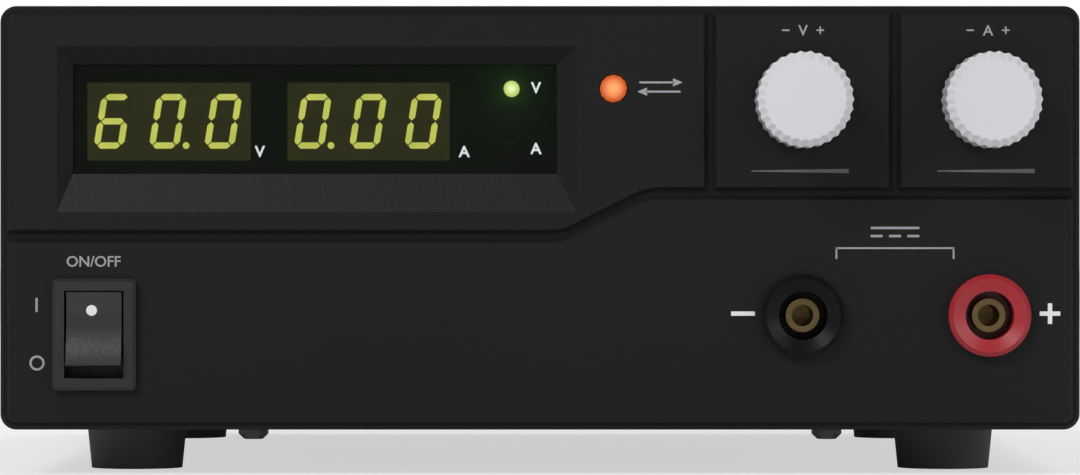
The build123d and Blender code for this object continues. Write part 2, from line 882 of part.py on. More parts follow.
def make_chassis():
    """The folded tray: front wall with tabs, joggled floor, rear wall and side flanges."""
    half_sheet = sheet / 2
    tab_level = tab_z + half_sheet
    wall_top = case_top - sheet - cover_gap
    rear = rear_face - half_sheet
    front = front_wall_depth + half_sheet
    joggle_top = bezel_depth + sheet
    joggle_foot = joggle_top + joggle_run
    floor_level = case_bottom + half_sheet
    side_line = [(front, wall_top - front_wall_drop), (front, tab_level), (joggle_top, tab_level),
                 (joggle_foot, floor_level), (rear, floor_level), (rear, wall_top - half_sheet),
                 (rear - rear_flange_depth, wall_top - half_sheet)]
    radii = [joggle_bend, joggle_bend, joggle_bend, bend_radius, bend_radius]
    strip = trace(FilletPolyline(*side_line, radius=radii), line_width=sheet)
    tray = seen_from_side(strip, -chassis_width / 2, chassis_width / 2)
    corner = Rectangle(2 * bezel_corner_clear, bezel_height)
    for side in (-1, 1):
        level = case_bottom + flange_height
        edge = side * (chassis_width / 2 - half_sheet)
        inner = side * (chassis_width / 2 - 2 * bend_radius)
        line = [(inner, floor_level), (edge, floor_level), (edge, level)]
        flange = slice_between(bent_strip(line, bend_radius, sheet),
                               joggle_foot + flange_end_gap, rear_face - flange_end_gap)
        notch = Box(4 * bend_radius, rear_face - joggle_foot - 2 * flange_end_gap, 2 * sheet)
        middle = panel_y + (rear_face + joggle_foot) / 2
        tray -= Pos(inner + side * 2 * bend_radius, middle, floor_level) * notch
        tray += flange
        tray -= slice_between(Pos(side * chassis_width / 2, bezel_middle) * corner,
                              front_wall_depth, joggle_foot)
        relief = Pos(side * chassis_width / 2, wall_top) * Rectangle(2 * cover_bend,
                                                                     2 * cover_bend)
        tray -= slice_between(relief, joggle_foot, rear_face)
        tab = standing_box(side * bezel_screw_x, bezel_depth - tab_length / 2, tab_z, tab_width,
                           tab_length, sheet)
        hole = screw_hole(screw_diameter, 4 * sheet)
        tray += tab
        tray -= Pos(side * bezel_screw_x, panel_y + bezel_screw_depth, tab_level) * hole
    for x in (-standoff_x, standoff_x):
        for depth in standoff_depths:
            section = RegularPolygon(standoff_width / 2, 6, major_radius=False)
            post = extrude(section - facets(screw_diameter), amount=standoff_height)
            tray += Pos(x, panel_y + depth, floor_top) * post
    tray -= front_wall_openings()
    tray -= rear_wall_openings()
    for x in (-foot_x, foot_x):
        for depth in (front_foot_depth, rear_foot_depth):
            tray -= Pos(x, panel_y + depth, case_bottom) * screw_hole(screw_diameter, 4 * sheet)
    for place in cover_screw_places():
        tray -= place * screw_hole(screw_diameter, 6 * sheet)
    return tray


def front_wall_openings():
    """What the front wall is cut away for: the switch, the sockets and the ribbon."""
    near = front_wall_depth - sheet
    far = front_wall_depth + 2 * sheet
    cuts = Pos(switch_x, switch_z) * Rectangle(switch_body_width + 2 * wall_clearance,
                                               switch_body_height + 2 * wall_clearance)
    for x in (black_socket_x, red_socket_x):
        cuts += Pos(x, socket_z) * facet_hole(socket_barrel_diameter + 2 * wall_clearance)
    cuts += Pos(ribbon_x, ribbon_level) * Rectangle(ribbon_width + 2 * wall_clearance,
                                                   ribbon_slot_height)
    return slice_between(cuts, near, far)


def rear_wall_openings():
    """The cut-outs for the inlet, fan, posts, connector and mode switch."""
    cuts = Pos(inlet_x, inlet_z) * Rectangle(inlet_body_width + 2 * cutout_gap,
                                             inlet_body_height + 2 * cutout_gap)
    for side in (-1, 1):
        cuts += Pos(inlet_x + side * inlet_screw_pitch / 2, inlet_z) * facets(
            inlet_screw_diameter)
    cuts += Pos(fan_x, fan_z) * Circle(fan_bore / 2)
    for x, z in fan_hole_places():
        cuts += Pos(x, z) * facets(fan_screw_diameter + 2 * screw_hole_gap)
    for x in (red_post_x, black_post_x):
        cuts += Pos(x, post_z) * Rectangle(post_neck_side + 2 * cutout_gap,
                                           post_neck_side + 2 * cutout_gap)
    cuts += Pos(connector_x, connector_z) * Rectangle(connector_width + 2 * cutout_gap,
                                                      connector_height + 2 * cutout_gap)
    cuts += Pos(mode_switch_x, mode_switch_z) * Rectangle(slide_slot_width, slide_slot_height)
    return slice_between(cuts, rear_inside - sheet, rear_face + sheet)


def fan_hole_places():
    half = fan_hole_pitch / 2
    return [(fan_x + side * half, fan_z + level * half) for side in (-1, 1) for level in (-1, 1)]


def cover_screw_places():
    """Where each cover screw's head seats, with its shank pointing into the case."""
    places = []
    for side in (-1, 1):
        for depth in cover_screw_depths:
            seat = Pos(side * case_width / 2, panel_y + depth, case_bottom + cover_screw_height)
            places.append(seat * Rot(0, -90 * side, 0))
        seat = Pos(side * top_screw_x, panel_y + rear_face - rear_flange_depth / 2, case_top)
        places.append(seat * Rot(180, 0, 0))
    return places


def make_top_cover():
    """The folded cover: rounded top edges, louvre slots in both sides and screw holes."""
    edge = (case_width - sheet) / 2
    level = case_top - sheet / 2
    line = [(-edge, case_bottom), (-edge, level), (edge, level), (edge, case_bottom)]
    cover = slice_between(bent_strip(line, cover_bend, sheet), bezel_depth, rear_face)
    for index in range(vent_count):
        slot = Box(2 * case_width, vent_width, vent_height)
        cover -= Pos(0, panel_y + vent_first_depth + index * vent_pitch, vent_z) * slot
    for place in cover_screw_places():
        cover -= place * screw_hole(screw_diameter + 2 * screw_hole_gap, 3 * sheet)
    return cover


def make_case_screws():
    """The screws of the cover and the feet, all of one kind."""
    screws = [place * pan_screw(screw_head_diameter, screw_diameter, screw_length,
                                screw_head_height) for place in cover_screw_places()]
    for x in (-foot_x, foot_x):
        for depth in (front_foot_depth, rear_foot_depth):
            seat = Pos(x, panel_y + depth, foot_height - foot_floor)
            screws.append(seat * pan_screw(screw_head_diameter, screw_diameter, screw_length,
                                           screw_head_height))
    return screws


def make_bezel_screws():
    return [Pos(x, panel_y + bezel_screw_depth, bezel_bottom)
            * pan_screw(screw_head_diameter, screw_diameter, bezel_screw_length,
                        screw_head_height) for x in (-bezel_screw_x, bezel_screw_x)]


def make_rubber_feet():
    """Four tapered feet, each with a well for its screw."""
    feet = []
    top = foot_top_diameter / 2
    bottom = foot_bottom_diameter / 2
    outline = [(0, 0), (bottom, 0), (top, foot_height), (0, foot_height)]
    well = extrude(facet_hole(foot_well_diameter), amount=foot_height - foot_floor)
    for x in (-foot_x, foot_x):
        for depth in (front_foot_depth, rear_foot_depth):
            foot = turned_upright(outline, x, depth, 0) - Pos(x, panel_y + depth, 0) * well
            hole = screw_hole(screw_diameter, 4 * foot_height)
            feet.append(foot - Pos(x, panel_y + depth, 0) * hole)
    return feet


# Mains inlet


def socket_shape(grow):
    """The inlet's opening, a rectangle with its two upper corners cut off."""
    half_width = inlet_socket_width / 2 + grow
    half_height = inlet_socket_height / 2 + grow
    cut = inlet_socket_corner
    points = [(-half_width, -half_height), (half_width, -half_height),
              (half_width, half_height - cut), (half_width - cut, half_height),
              (-half_width + cut, half_height), (-half_width, half_height - cut)]
    return make_face(Polyline(*points, close=True))


def make_mains_inlet():
    """The inlet's flange and body, hollow for the plug and for the fuse drawer."""
    outer = rear_face + inlet_flange_thickness
    flange = slice_between(RectangleRounded(inlet_flange_width, inlet_flange_height,
                                            inlet_flange_round),
                           rear_face, outer, inlet_x, inlet_z)
    flange = chamfer(flange.faces().sort_by(Axis.Y)[-1].edges(), inlet_flange_chamfer)
    body = slice_between(Rectangle(inlet_body_width, inlet_body_height),
                         rear_face - inlet_body_depth, rear_face, inlet_x, inlet_z)
    inlet = flange + body
    inlet -= slice_between(Pos(0, inlet_socket_z) * socket_shape(0), outer - inlet_socket_depth,
                           outer, inlet_x, inlet_z)
    slot = Pos(0, drawer_z) * Rectangle(drawer_width + 2 * drawer_gap,
                                        drawer_height + 2 * drawer_gap)
    inlet -= slice_between(slot, outer - drawer_length - drawer_gap, outer, inlet_x, inlet_z)
    for side in (-1, 1):
        place = Pos(side * inlet_screw_pitch / 2, 0)
        inlet -= slice_between(place * facets(inlet_screw_diameter), rear_face, outer, inlet_x,
                               inlet_z)
    return inlet


def make_inlet_blades():
    """Three contact blades that pass through the inlet's back wall to its tails."""
    outer = rear_face + inlet_flange_thickness
    floor = outer - inlet_socket_depth
    tip = outer - pin_set_back
    blades = []
    for x, z in ((-pin_pitch, -pin_rise / 2), (pin_pitch, -pin_rise / 2), (0, pin_rise)):
        place = Pos(x, inlet_socket_z + z)
        blade = slice_between(place * Rectangle(pin_thickness, pin_width), floor, tip,
                              inlet_x, inlet_z)
        blades.append(chamfer(blade.faces().sort_by(Axis.Y)[-1].edges(), pin_chamfer))
    return blades


def make_inlet_tails():
    """The blades' solder tails behind the inlet."""
    back = rear_face - inlet_body_depth
    tails = []
    for x, z in ((-pin_pitch, -pin_rise / 2), (pin_pitch, -pin_rise / 2), (0, pin_rise)):
        place = Pos(x, inlet_socket_z + z)
        tails.append(slice_between(place * Rectangle(pin_tail_thickness, pin_width),
                                   back - pin_tail_length, back, inlet_x, inlet_z))
    return tails


def make_fuse_drawer():
    """The drawer: a face plate with a grip notch and a tray with a well for each fuse."""
    outer = rear_face + inlet_flange_thickness
    face = Rectangle(drawer_width + 2 * drawer_face_margin,
                     drawer_height + 2 * drawer_face_margin)
    drawer = slice_between(face, outer, outer + drawer_face_thickness, inlet_x,
                           inlet_z + drawer_z)
    drawer = chamfer(drawer.faces().sort_by(Axis.Y)[-1].edges(), drawer_face_chamfer)
    drawer += slice_between(Rectangle(drawer_width, drawer_height), outer - drawer_length,
                            outer, inlet_x, inlet_z + drawer_z)
    inner_height = drawer_height - drawer_wall
    for x in (-fuse_pitch / 2, fuse_pitch / 2):
        well = Box(fuse_diameter + 2 * drawer_gap, fuse_length + 2 * drawer_gap, inner_height)
        drawer -= Pos(inlet_x + x, panel_y + fuse_middle,
                      inlet_z + drawer_z + drawer_wall / 2) * well
    grip = Box(drawer_grip_width, drawer_face_thickness, drawer_grip_height)
    drawer -= Pos(inlet_x, panel_y + outer + drawer_face_thickness,
                  inlet_z + drawer_z) * grip
    return drawer


def make_fuses():
    """The working fuse and the spare, each lying on the floor of its well."""
    level = inlet_z + drawer_z - drawer_height / 2 + drawer_wall + fuse_diameter / 2
    return [slice_between(RegularPolygon(fuse_diameter / 2, hole_facet_count),
                          fuse_middle - fuse_length / 2, fuse_middle + fuse_length / 2,
                          inlet_x + x, level) for x in (-fuse_pitch / 2, fuse_pitch / 2)]


def make_inlet_screws():
    screws = []
    outer = rear_face + inlet_flange_thickness
    for side in (-1, 1):
        seat = Pos(inlet_x + side * inlet_screw_pitch / 2, panel_y + outer, inlet_z)
        screws.append(seat * Rot(90, 0, 0) * pan_screw(inlet_screw_head, inlet_screw_diameter,
                                                       inlet_screw_length, inlet_screw_rise))
    return screws


# Fan


def make_fan_frame():
    """The square frame with its round duct, screw holes, motor plate and struts."""
    front = rear_inside - fan_depth
    outline = RectangleRounded(fan_side, fan_side, fan_round) - Circle(fan_bore / 2)
    frame = slice_between(outline, front, rear_inside, fan_x, fan_z)
    half = fan_hole_pitch / 2
    for side in (-1, 1):
        for level in (-1, 1):
            hole = Pos(side * half, level * half) * facets(fan_screw_diameter)
            frame -= slice_between(hole, front, rear_inside, fan_x, fan_z)
    plate = facet_round(fan_motor_diameter)
    for index in range(fan_strut_count):
        strut = Pos(fan_bore / 4, 0) * Rectangle(fan_bore / 2 + fan_strut_seat, fan_strut_width)
        plate += Rot(0, 0, 45 + 360 * index / fan_strut_count) * strut
    frame += slice_between(plate, front, front + fan_motor_plate, fan_x, fan_z)
    pin_end = rear_inside - fan_rotor_setback - fan_hub_wall - fan_pin_gap
    frame += slice_between(Circle(fan_pin_diameter / 2), front, pin_end, fan_x, fan_z)
    return frame


def make_fan_rotor():
    """The rotor: a cup over the motor, a boss on its pin and seven cambered blades."""
    back = rear_inside - fan_rotor_setback
    cup_front = rear_inside - fan_depth + fan_motor_plate + fan_rotor_gap
    hub = fan_hub_diameter / 2
    bore = fan_pin_diameter / 2 + running_gap
    bottom = back - fan_hub_wall
    outline = [(0, back), (hub - fan_hub_chamfer, back), (hub, back - fan_hub_chamfer),
               (hub, cup_front), (hub - fan_hub_wall, cup_front), (hub - fan_hub_wall, bottom),
               (fan_boss_diameter / 2, bottom), (fan_boss_diameter / 2, cup_front + fan_rotor_gap),
               (bore, cup_front + fan_rotor_gap), (bore, bottom), (0, bottom)]
    rotor = turned_in_depth(outline, fan_x, fan_z)
    blade = fan_blade()
    for index in range(fan_blade_count):
        rotor += blade.rotate(Axis((fan_x, panel_y, fan_z), (0, 1, 0)),
                              360 * index / fan_blade_count)
    return rotor


def fan_blade():
    """One blade: a slanted, cambered strip that runs from the hub out to the duct."""
    middle = rear_inside - fan_rotor_setback - fan_blade_depth / 2 - fan_blade_inset
    root = fan_hub_diameter / 2 - fan_hub_wall / 2
    tip = fan_bore / 2 - fan_tip_gap
    chord = fan_blade_depth / math.cos(math.radians(fan_blade_angle))
    arc = ThreePointArc((-chord / 2, 0), (0, fan_blade_camber), (chord / 2, 0))
    section = trace(arc, line_width=fan_blade_thickness)
    plane = Plane((fan_x, panel_y + middle, fan_z + root), x_dir=(0, 1, 0), z_dir=(0, 0, 1))
    blade = extrude(plane * Rot(0, 0, fan_blade_angle) * section, amount=fan_bore / 2 - root)
    swept_tip = slice_between(Circle(tip), middle - fan_depth, middle + fan_depth, fan_x, fan_z)
    return blade & swept_tip


def make_fan_guard():
    """The wire guard: rings joined by two crossed rods that end in screw eyes."""
    near = rear_face
    rods_far = near + guard_wire
    rings_far = rods_far + guard_wire
    guard = None
    for radius in guard_ring_radii:
        ring = RegularPolygon(radius + guard_wire / 2, guard_ring_sides)
        ring -= RegularPolygon(radius - guard_wire / 2, guard_ring_sides)
        solid = slice_between(ring, rods_far - guard_weld, rings_far, fan_x, fan_z)
        guard = solid if guard is None else guard + solid
    reach = fan_hole_pitch * math.sqrt(2) + guard_eye_width
    for turn in (45, 135):
        rod = Rot(0, 0, turn) * Rectangle(reach, guard_wire)
        guard += slice_between(rod, near, rods_far, fan_x, fan_z)
    for x, z in fan_hole_places():
        eye = RegularPolygon(guard_eye_width / 2, hole_facet_count) - facets(
            fan_screw_diameter + 2 * screw_hole_gap)
        guard -= slice_between(facets(fan_screw_diameter + 2 * screw_hole_gap), near, rods_far,
                               x, z)
        guard += slice_between(eye, near, rods_far, x, z)
    return guard


def make_fan_screws():
    screws = []
    seat_depth = rear_face + guard_wire
    for x, z in fan_hole_places():
        seat = Pos(x, panel_y + seat_depth, z)
        screws.append(seat * Rot(90, 0, 0) * pan_screw(fan_screw_head, fan_screw_diameter,
                                                       fan_screw_length, screw_head_height))
    return screws


# Output binding posts


def make_post_base(x):
    """The insulating base of a post, with a square neck that stops it turning."""
    outer = rear_face + post_base_thickness
    base = slice_between(Circle(post_base_diameter / 2), rear_face, outer, x, post_z)
    neck = Rectangle(post_neck_side, post_neck_side)
    base += slice_between(neck, rear_inside - post_neck_length, rear_face, x, post_z)
    return base - slice_between(facet_hole(post_stud_diameter), rear_inside - post_neck_length,
                                outer, x, post_z)


def make_post_studs():
    """The hollow studs: a plug bore behind, and a tail that takes the bar inside."""
    studs = []
    tip = rear_face + rear_post_reach - post_stud_set_back
    tail = rear_inside - post_tail
    for x in (red_post_x, black_post_x):
        outline = [(post_bore / 2, tip), (post_stud_diameter / 2, tip),
                   (post_stud_diameter / 2, tail), (0, tail), (0, tip - post_bore_depth),
                   (post_bore / 2, tip - post_bore_depth)]
        studs.append(turned_in_depth(outline, x, post_z))
    return studs


def make_post_nuts():
    """One nut behind each base and one behind the bar that the stud carries."""
    nuts = []
    ring = RegularPolygon(post_nut_width / 2, 6, major_radius=False)
    ring -= facet_hole(post_stud_diameter)
    first = rear_inside - post_neck_length
    second = first - post_nut_thickness - bar_thickness
    for x in (red_post_x, black_post_x):
        for depth in (first, second):
            nuts.append(slice_between(ring, depth - post_nut_thickness, depth, x, post_z))
    return nuts


def make_clamp_washer(x):
    """The captive washer that rides out with the cap without turning."""
    near = rear_face + post_base_thickness
    ring = Circle(post_washer_diameter / 2)
    ring -= facet_hole(post_stud_diameter + 2 * running_gap)
    return slice_between(ring, near, near + post_washer_thickness - post_clamp_gap, x, post_z)


def make_post_cap(x):
    """The fluted cap that screws along the stud, bevelled at both ends."""
    near = rear_face + post_base_thickness + post_washer_thickness
    far = near + post_cap_length
    outline = fluted_outline(post_cap_diameter, post_cap_flutes, post_cap_flute_depth)
    small = fluted_outline(post_cap_diameter - 2 * post_cap_bevel, post_cap_flutes,
                           post_cap_flute_depth)
    cap = slice_between(outline, near + post_cap_bevel, far - post_cap_bevel, x, post_z)
    for end, inner in ((near, near + post_cap_bevel), (far, far - post_cap_bevel)):
        cap += loft([facing_front(inner, x, post_z) * outline,
                     facing_front(end, x, post_z) * small], ruled=True)
    bore = Circle(post_stud_diameter / 2 + running_gap)
    return cap - slice_between(bore, near, far, x, post_z)


# Mode switch and remote connector


def make_mode_switch_body():
    """The slide switch behind the rear wall: a steel plate and a hollow case."""
    plate = Rectangle(slide_plate_width, slide_body_height)
    case = Rectangle(slide_body_width, slide_body_height)
    front = rear_inside - slide_plate_thickness
    body = slice_between(plate, front, rear_inside, mode_switch_x, mode_switch_z)
    body += slice_between(case, front - slide_body_depth, front, mode_switch_x, mode_switch_z)
    track = Rectangle(slide_slot_width, slide_slot_height)
    return body - slice_between(track, front - slide_track_depth, rear_inside, mode_switch_x,
                                mode_switch_z)


def make_mode_slider():
    """The slider's thumb piece, at the left end of its track."""
    start = mode_switch_x - slide_slot_width / 2 + slider_gap + slider_width / 2
    height = slide_slot_height - 2 * slider_gap
    foot = rear_inside - slide_plate_thickness - slide_track_depth + slider_gap
    thumb = slice_between(Rectangle(slider_width, height), foot, rear_face + slider_proud,
                          start, mode_switch_z)
    top = thumb.faces().sort_by(Axis.Y)[-1]
    thumb = chamfer(top.edges(), slider_chamfer)
    for index in (-1, 0, 1):
        groove = Box(slider_ridge, slider_ridge, height)
        thumb -= Pos(start + index * 2 * slider_ridge, panel_y + rear_face + slider_proud,
                     mode_switch_z) * groove
    return thumb


def make_remote_connector():
    """The shrouded connector for a remote control lead, open to the back."""
    outer = rear_face + connector_proud
    outline = Rectangle(connector_width, connector_height)
    lip = Rectangle(connector_width + 2 * connector_lip, connector_height + 2 * connector_lip)
    body = slice_between(outline, outer - connector_depth, outer, connector_x, connector_z)
    body += slice_between(lip, rear_face, outer, connector_x, connector_z)
    inner = Rectangle(connector_width - 2 * connector_wall, connector_height - 2 * connector_wall)
    body -= slice_between(inner, outer - connector_cavity_depth, outer, connector_x, connector_z)
    return body


def make_connector_pins():
    """The square pins in the connector."""
    outer = rear_face + connector_proud
    pins = []
    for index in range(connector_pin_count):
        x = connector_x + (index - (connector_pin_count - 1) / 2) * connector_pin_pitch
        pins.append(slice_between(Rectangle(connector_pin, connector_pin),
                                  outer - connector_cavity_depth, outer - connector_pin_set_back,
                                  x, connector_z))
    return pins


# Main board and what stands on it


def make_main_board():
    length = main_board_rear - main_board_front
    outline = RectangleRounded(main_board_width, length, board_corner)
    for x in (-standoff_x, standoff_x):
        for depth in standoff_depths:
            place = Pos(x, depth - main_board_front - length / 2)
            outline -= place * facets(screw_diameter + 2 * screw_hole_gap)
    middle = panel_y + main_board_front + length / 2
    return Pos(0, middle, board_bottom) * extrude(outline, amount=board_thickness)


def make_board_screws():
    return [Pos(x, panel_y + depth, board_top) * Rot(180, 0, 0)
            * pan_screw(screw_head_diameter, screw_diameter, board_screw_length,
                        screw_head_height)
            for x in (-standoff_x, standoff_x) for depth in standoff_depths]


def make_heatsinks():
    """Two finned extrusions that stand along the board, their fins facing outwards."""
    sinks = []
    for side in (-1, 1):
        inner = side * heatsink_x
        outline = Pos(inner + side * heatsink_base / 2, heatsink_height / 2) * Rectangle(
            heatsink_base, heatsink_height)
        pitch = (heatsink_height - heatsink_fin) / (heatsink_fin_count - 1)
        for index in range(heatsink_fin_count):
            place = Pos(inner + side * (heatsink_base + heatsink_fin_reach) / 2,
                        heatsink_fin / 2 + index * pitch)
            outline += place * Rectangle(heatsink_base + heatsink_fin_reach, heatsink_fin)
        sinks.append(slice_between(outline, heatsink_front, heatsink_rear, 0, board_top))
    return sinks


def make_power_transistors():
    """Flat power packages clamped to the plain side of each heatsink, with three legs."""
    parts = []
    for side in (-1, 1):
        x = side * (heatsink_x - transistor_thickness / 2)
        for depth in transistor_depths:
            body = standing_box(x, depth, board_top + transistor_lift, transistor_thickness,
                                transistor_width, transistor_height)
            for leg in (-1, 0, 1):
                body += standing_box(x, depth + leg * transistor_leg_pitch, board_top,
                                     transistor_leg, transistor_leg, transistor_lift)
            parts.append(body)
    return parts


def make_transformer_core():
    """A closed ferrite frame with a middle leg."""
    outline = Rectangle(core_width, core_height)
    window_width = (core_width - 4 * core_leg) / 2
    for side in (-1, 1):
        outline -= Pos(side * (core_leg + window_width / 2), 0) * Rectangle(
            window_width, core_height - 2 * core_leg)
    return slice_between(outline, transformer_depth - core_thickness / 2,
                         transformer_depth + core_thickness / 2, 0,
                         board_top + core_lift + core_height / 2)


def make_transformer_winding():
    """The bobbin and its winding round the core's middle leg, on a base with pins."""
    height = core_height - 2 * core_leg - 2 * winding_gap
    middle = board_top + core_lift + core_height / 2
    winding = RectangleRounded(winding_width, winding_length, winding_round)
    winding -= Rectangle(2 * core_leg, core_thickness)
    coil = Pos(0, panel_y + transformer_depth, middle - height / 2) * extrude(winding,
                                                                             amount=height)
    bases = []
    for side in (-1, 1):
        depth = transformer_depth + side * (core_thickness + base_rail) / 2
        rail = standing_box(0, depth, board_top, core_width, base_rail,
                            middle - height / 2 - board_top + winding_gap)
        bases.append(rail)
    return coil + bases[0] + bases[1]


def make_output_choke():
    """A toroid on its side with a heavy winding, drawn as ridges round the ring."""
    ring = facet_round(choke_outer) - facet_round(choke_inner)
    for index in range(choke_turns):
        turn = Rot(0, 0, 360 * index / choke_turns)
        ring += turn * Pos(choke_outer / 2, 0) * Rectangle(choke_wire, choke_wire)
    place = Pos(choke_x, panel_y + choke_depth, board_top)
    return place * extrude(ring, amount=choke_height)


def can(x, depth, diameter, height):
    """An upright capacitor can with a bevelled top."""
    solid = extrude(facet_round(diameter), amount=height)
    solid = chamfer(solid.faces().sort_by(Axis.Z)[-1].edges(), can_bevel)
    return Pos(x, panel_y + depth, board_top) * solid


def make_bulk_capacitors():
    return [can(bulk_capacitor_x, depth, bulk_capacitor_diameter, bulk_capacitor_height)
            for depth in bulk_capacitor_depths]


def make_output_capacitors():
    return [can(output_capacitor_x, depth, output_capacitor_diameter, output_capacitor_height)
            for depth in output_capacitor_depths]


def make_filter_choke():
    """The mains filter: a square core with a coil on each upright leg."""
    outline = Rectangle(filter_choke_width, filter_choke_height)
    inner = Rectangle(filter_choke_width - 2 * filter_choke_leg,
                      filter_choke_height - 2 * filter_choke_leg)
    core = slice_between(outline - inner, filter_choke_depth - filter_choke_leg / 2,
                         filter_choke_depth + filter_choke_leg / 2, filter_choke_x,
                         board_top + filter_choke_height / 2)
    height = filter_choke_height - 2 * filter_choke_leg - 2 * winding_gap
    for side in (-1, 1):
        x = filter_choke_x + side * (filter_choke_width - filter_choke_leg) / 2
        coil = extrude(facets(filter_coil_diameter), amount=height)
        core += Pos(x, panel_y + filter_choke_depth,
                    board_top + filter_choke_leg + winding_gap) * coil
    return core


# Leads inside the case


def make_output_bars():
    """Two bent copper bars from the board's edge up to the studs of the posts."""
    bars = []
    stud_face = rear_inside - post_neck_length - post_nut_thickness - bar_thickness / 2
    for x in (red_post_x, black_post_x):
        foot = main_board_rear - bar_foot
        level = board_top + bar_thickness / 2
        line = [(foot, level), (stud_face, level), (stud_face, post_z + bar_width / 2)]
        strip = bent_strip(line, bar_bend, bar_thickness)
        bar_solid = seen_from_side(strip, x - bar_width / 2, x + bar_width / 2)
        bar_solid -= slice_between(facet_hole(post_stud_diameter), stud_face - bar_thickness,
                                   stud_face + bar_thickness, x, post_z)
        bars.append(bar_solid)
    return bars


def make_socket_leads():
    """The front sockets' leads: back from their tails, then down to the board."""
    leads = []
    start = socket_length + contact_tail
    turn = start + socket_lead_run
    for x in (black_socket_x, red_socket_x):
        route = [(x, start, socket_z), (x, turn, socket_z), (x, turn, board_top)]
        leads.append(lead(route, lead_diameter, lead_bend))
    return leads


def make_mains_leads():
    """From the inlet to the switch along the case's side, and from both down to the board."""
    tail_end = rear_face - inlet_body_depth - pin_tail_length
    blade_end = switch_body_depth + blade_length
    lane = -chassis_width / 2 + mains_lane_margin
    inlet_level = inlet_z + inlet_socket_z - pin_rise / 2
    turn = tail_end - mains_lead_run
    lower = switch_z - blade_pitch / 2
    upper = switch_z + blade_pitch / 2
    to_switch = [(inlet_x - pin_pitch, tail_end, inlet_level),
                 (inlet_x - pin_pitch, turn, inlet_level), (lane, turn, inlet_level),
                 (lane, blade_end + 2 * mains_lead_run, lower),
                 (switch_x, blade_end + mains_lead_run, lower), (switch_x, blade_end, lower)]
    from_switch = [(switch_x, blade_end, upper), (switch_x, blade_end + switch_lead_run, upper),
                   (switch_x, blade_end + switch_lead_run, board_top)]
    neutral = [(inlet_x + pin_pitch, tail_end, inlet_level),
               (inlet_x + pin_pitch, turn, inlet_level), (inlet_x + pin_pitch, turn, board_top)]
    return [lead(route, lead_diameter, mains_lead_bend)
            for route in (to_switch, from_switch, neutral)]


def make_ribbon_cable():
    """The flat cable from the display board back through the wall and down to the board."""
    line = [(board_back, ribbon_level), (ribbon_foot, ribbon_level), (ribbon_foot, board_top)]
    strip = bent_strip(line, ribbon_bend, ribbon_thickness)
    return seen_from_side(strip, ribbon_x - ribbon_width / 2, ribbon_x + ribbon_width / 2)


# All sub-parts, one file each


def as_one(shapes):
    """One shape that holds several separate solids."""
    if not isinstance(shapes, list):
        return shapes
    return Compound(children=[solid for shape in shapes for solid in shape.solids()])


def main():
    mode_led_tip = window_back + mode_led_behind_window
    nodes = {
        "front_bezel": make_front_bezel(),
        "display_window": make_display_window(),
        "display_modules": make_display_modules(),
        "display_segments": make_display_segments(),
        "display_board": make_display_board(),
        "voltage_mode_led": led(mode_led_x, voltage_mode_led_z, mode_led_diameter, mode_led_tip),
        "current_mode_led": led(mode_led_x, current_mode_led_z, mode_led_diameter, mode_led_tip),
        "remote_led": led(remote_led_x, remote_led_z, remote_led_diameter, -remote_led_proud),
        "encoder_bodies": make_encoders(),
        "voltage_plunger": make_plunger(voltage_knob_x),
        "voltage_shaft": make_shaft(voltage_knob_x),
        "voltage_knob": make_knob(voltage_knob_x),
        "current_plunger": make_plunger(current_knob_x),
        "current_shaft": make_shaft(current_knob_x),
        "current_knob": make_knob(current_knob_x),
        "switch_housing": make_switch_housing(),
        "power_rocker": make_power_rocker(),
        "switch_blades": make_switch_blades(),
        "black_socket": make_socket(black_socket_x),
        "red_socket": make_socket(red_socket_x),
        "socket_contacts": make_socket_contacts(),
        "socket_nuts": make_socket_nuts(),
        "chassis": make_chassis(),
        "top_cover": make_top_cover(),
        "case_screws": make_case_screws(),
        "bezel_screws": make_bezel_screws(),
        "rubber_feet": make_rubber_feet(),
        "mains_inlet": make_mains_inlet(),
        "inlet_blades": make_inlet_blades() + make_inlet_tails(),
        "inlet_screws": make_inlet_screws(),
        "fuse_drawer": make_fuse_drawer(),
        "fuses": make_fuses(),
        "fan_frame": make_fan_frame(),
        "fan_rotor": make_fan_rotor(),
        "fan_guard": make_fan_guard(),
        "fan_screws": make_fan_screws(),
        "red_post": make_post_base(red_post_x),
        "black_post": make_post_base(black_post_x),
        "post_studs": make_post_studs(),
        "post_nuts": make_post_nuts(),
        "red_clamp": make_clamp_washer(red_post_x),
        "red_cap": make_post_cap(red_post_x),
        "black_clamp": make_clamp_washer(black_post_x),
        "black_cap": make_post_cap(black_post_x),
        "mode_switch": make_mode_switch_body(),
        "mode_slider": make_mode_slider(),
        "remote_connector": make_remote_connector(),
        "connector_pins": make_connector_pins(),
        "main_board": make_main_board(),
        "board_screws": make_board_screws(),
        "heatsinks": make_heatsinks(),
        "power_transistors": make_power_transistors(),
        "transformer_core": make_transformer_core(),
        "transformer_winding": make_transformer_winding(),
        "output_choke": make_output_choke(),
        "capacitors": make_bulk_capacitors() + make_output_capacitors(),
        "filter_choke": make_filter_choke(),
        "output_bars": make_output_bars(),
        "leads": make_socket_leads() + make_mains_leads(),
        "ribbon_cable": make_ribbon_cable(),
    }
    os.makedirs("parts", exist_ok=True)
    for name, shapes in nodes.items():
        export_step(as_one(shapes), f"parts/{name}.step")


main()
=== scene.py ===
"""Looks, lights and camera for the bench power supply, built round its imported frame."""
import json
import math

import bmesh
import bpy
from mathutils import Matrix, Vector
from mathutils.bvhtree import BVHTree


